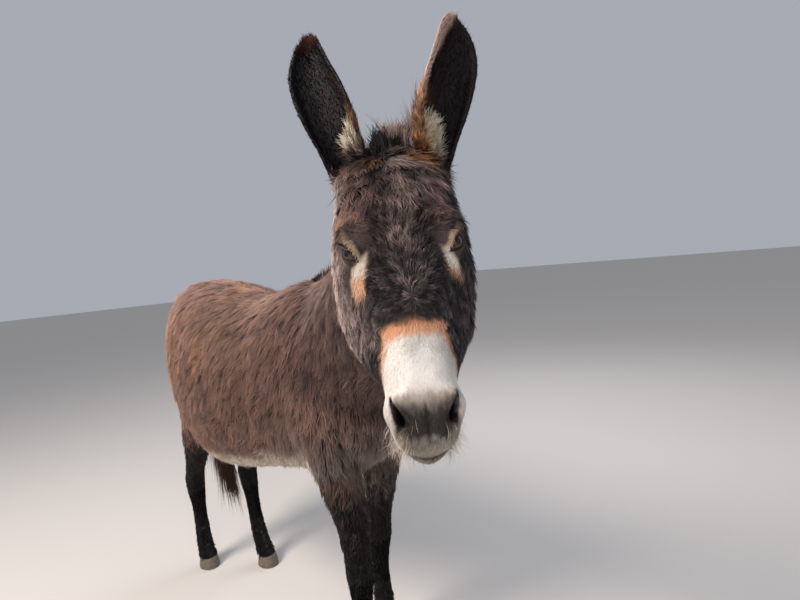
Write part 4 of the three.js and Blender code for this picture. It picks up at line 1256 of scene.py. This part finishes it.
def lashes():
    """A dark fringe along each upper lid, raised and bent down a little at the ends."""
    at, out, way = [], [], []
    for flip in MIRROR.values():
        turn, sideways, polar = lid_edge(0.0006)
        upper = np.flatnonzero((np.sin(turn) > 0.15) & (np.cos(turn) < 0.85))
        for i in RNG.choice(upper, 110):
            j = (i + 1) % len(turn)
            mix = RNG.random()
            direction = math.cos(polar[i]) * EYE_WAY + math.sin(polar[i]) * sideways[i]
            beside = math.cos(polar[j]) * EYE_WAY + math.sin(polar[j]) * sideways[j]
            direction = unit(direction * mix + beside * (1 - mix))
            at.append((EYE + direction * (EYE_RADIUS + 0.0008)) * flip)
            out.append(direction * flip)
            way.append(unit(EYE_WAY * 0.9 - EYE_UP * 0.25 + sideways[i] * 0.5) * flip)
    at, out, way = from_head(np.array(at)), np.array(out) @ HEAD_AXES.T, np.array(way) @ HEAD_AXES.T
    dark = np.tile(linear("#0c0807"), (len(at), 1))
    t = strands(at, way, way, RNG.uniform(0.006, 0.011, len(at)), 0.0006, 0, dark, dark)
    t["out"] = unit(np.cross(way, np.cross(out, way) + [1e-6, 0, 0]))
    hair = locks(t, (0, 0.35, 0.7, 1), (1, 0.8, 0.5, 0), ragged=0.06, curl=0.1)
    laid_as("lashes", long_hair, "long_hair", *hair)


lashes()

# ---- The floor, light and camera ---------------------------------------------------------------
# A wide plain floor under the hooves, three soft round lamps in a pale studio, and a camera at the height of
# a standing person's chest, turned to the donkey's head.

FLOOR = 40                                     # half its width
floor_mesh = bpy.data.meshes.new("floor")
floor_corners = [(-FLOOR, -FLOOR, 0), (FLOOR, -FLOOR, 0), (FLOOR, FLOOR, 0), (-FLOOR, FLOOR, 0)]
floor_mesh.from_pydata(floor_corners, [], [(0, 1, 2, 3)])
floor = set_down("floor", floor_mesh)
# Floor: a plain pale matt ground.
pale, tree, principled = material("pale_floor", Roughness=0.9)
principled.inputs["Base Color"].default_value = (*linear("#cfcac4"), 1)
floor_mesh.materials.append(pale)

world = bpy.data.worlds.new("studio")
bpy.context.scene.world = world
world.use_nodes = True
world.node_tree.nodes["Background"].inputs["Color"].default_value = (0.86, 0.90, 1.0, 1)
world.node_tree.nodes["Background"].inputs["Strength"].default_value = 0.45
bpy.context.scene.view_settings.view_transform = "Standard"


def soft_light(name, at, target, size, power, colour):
    light = bpy.data.lights.new(name, "AREA")
    light.shape, light.size, light.energy = "DISK", size, power
    light.color = linear(colour)
    lamp = bpy.data.objects.new(name, light)
    lamp.location = at
    way = Vector(target) - Vector(at)
    lamp.rotation_euler = way.to_track_quat("-Z", "Y").to_euler()
    bpy.context.scene.collection.objects.link(lamp)


soft_light("key", (-2.6, 0.5, 3.6), (-0.1, -0.2, 0.9), 1.8, 190, "#fff4ea")
soft_light("fill", (-2.0, -3.4, 4.2), (-0.2, -0.6, 1.0), 2.4, 56, "#f4f5ff")
soft_light("far_side", (2.8, 0.6, 3.2), (0.2, 0.0, 0.8), 2.4, 40, "#eef3ff")

CAMERA_AT, LOOK = (-0.7703, -1.3159, 1.10), (0.719, 0.695)     # where it stands; its way across the floor
PITCH, ROLL = math.radians(-3.87), math.radians(5.4)
SENSOR, FOCUS = 36, 520 / 800                  # the sensor's width, and the focal length in such widths
camera_data = bpy.data.cameras.new("camera")
camera = bpy.data.objects.new("camera", camera_data)
bpy.context.scene.collection.objects.link(camera)
camera.location = CAMERA_AT
ahead = Vector((LOOK[0] * math.cos(PITCH), LOOK[1] * math.cos(PITCH), math.sin(PITCH)))
level_right = ahead.cross(Vector((0, 0, 1))).normalized()
level_up = level_right.cross(ahead)
right = level_right * math.cos(ROLL) - level_up * math.sin(ROLL)
up = level_up * math.cos(ROLL) + level_right * math.sin(ROLL)
camera.rotation_euler = Matrix((right, up, -ahead)).transposed().to_euler()
camera_data.sensor_width = SENSOR
camera_data.lens = SENSOR * FOCUS
camera_data.shift_x = -0.0225
bpy.context.scene.camera = camera
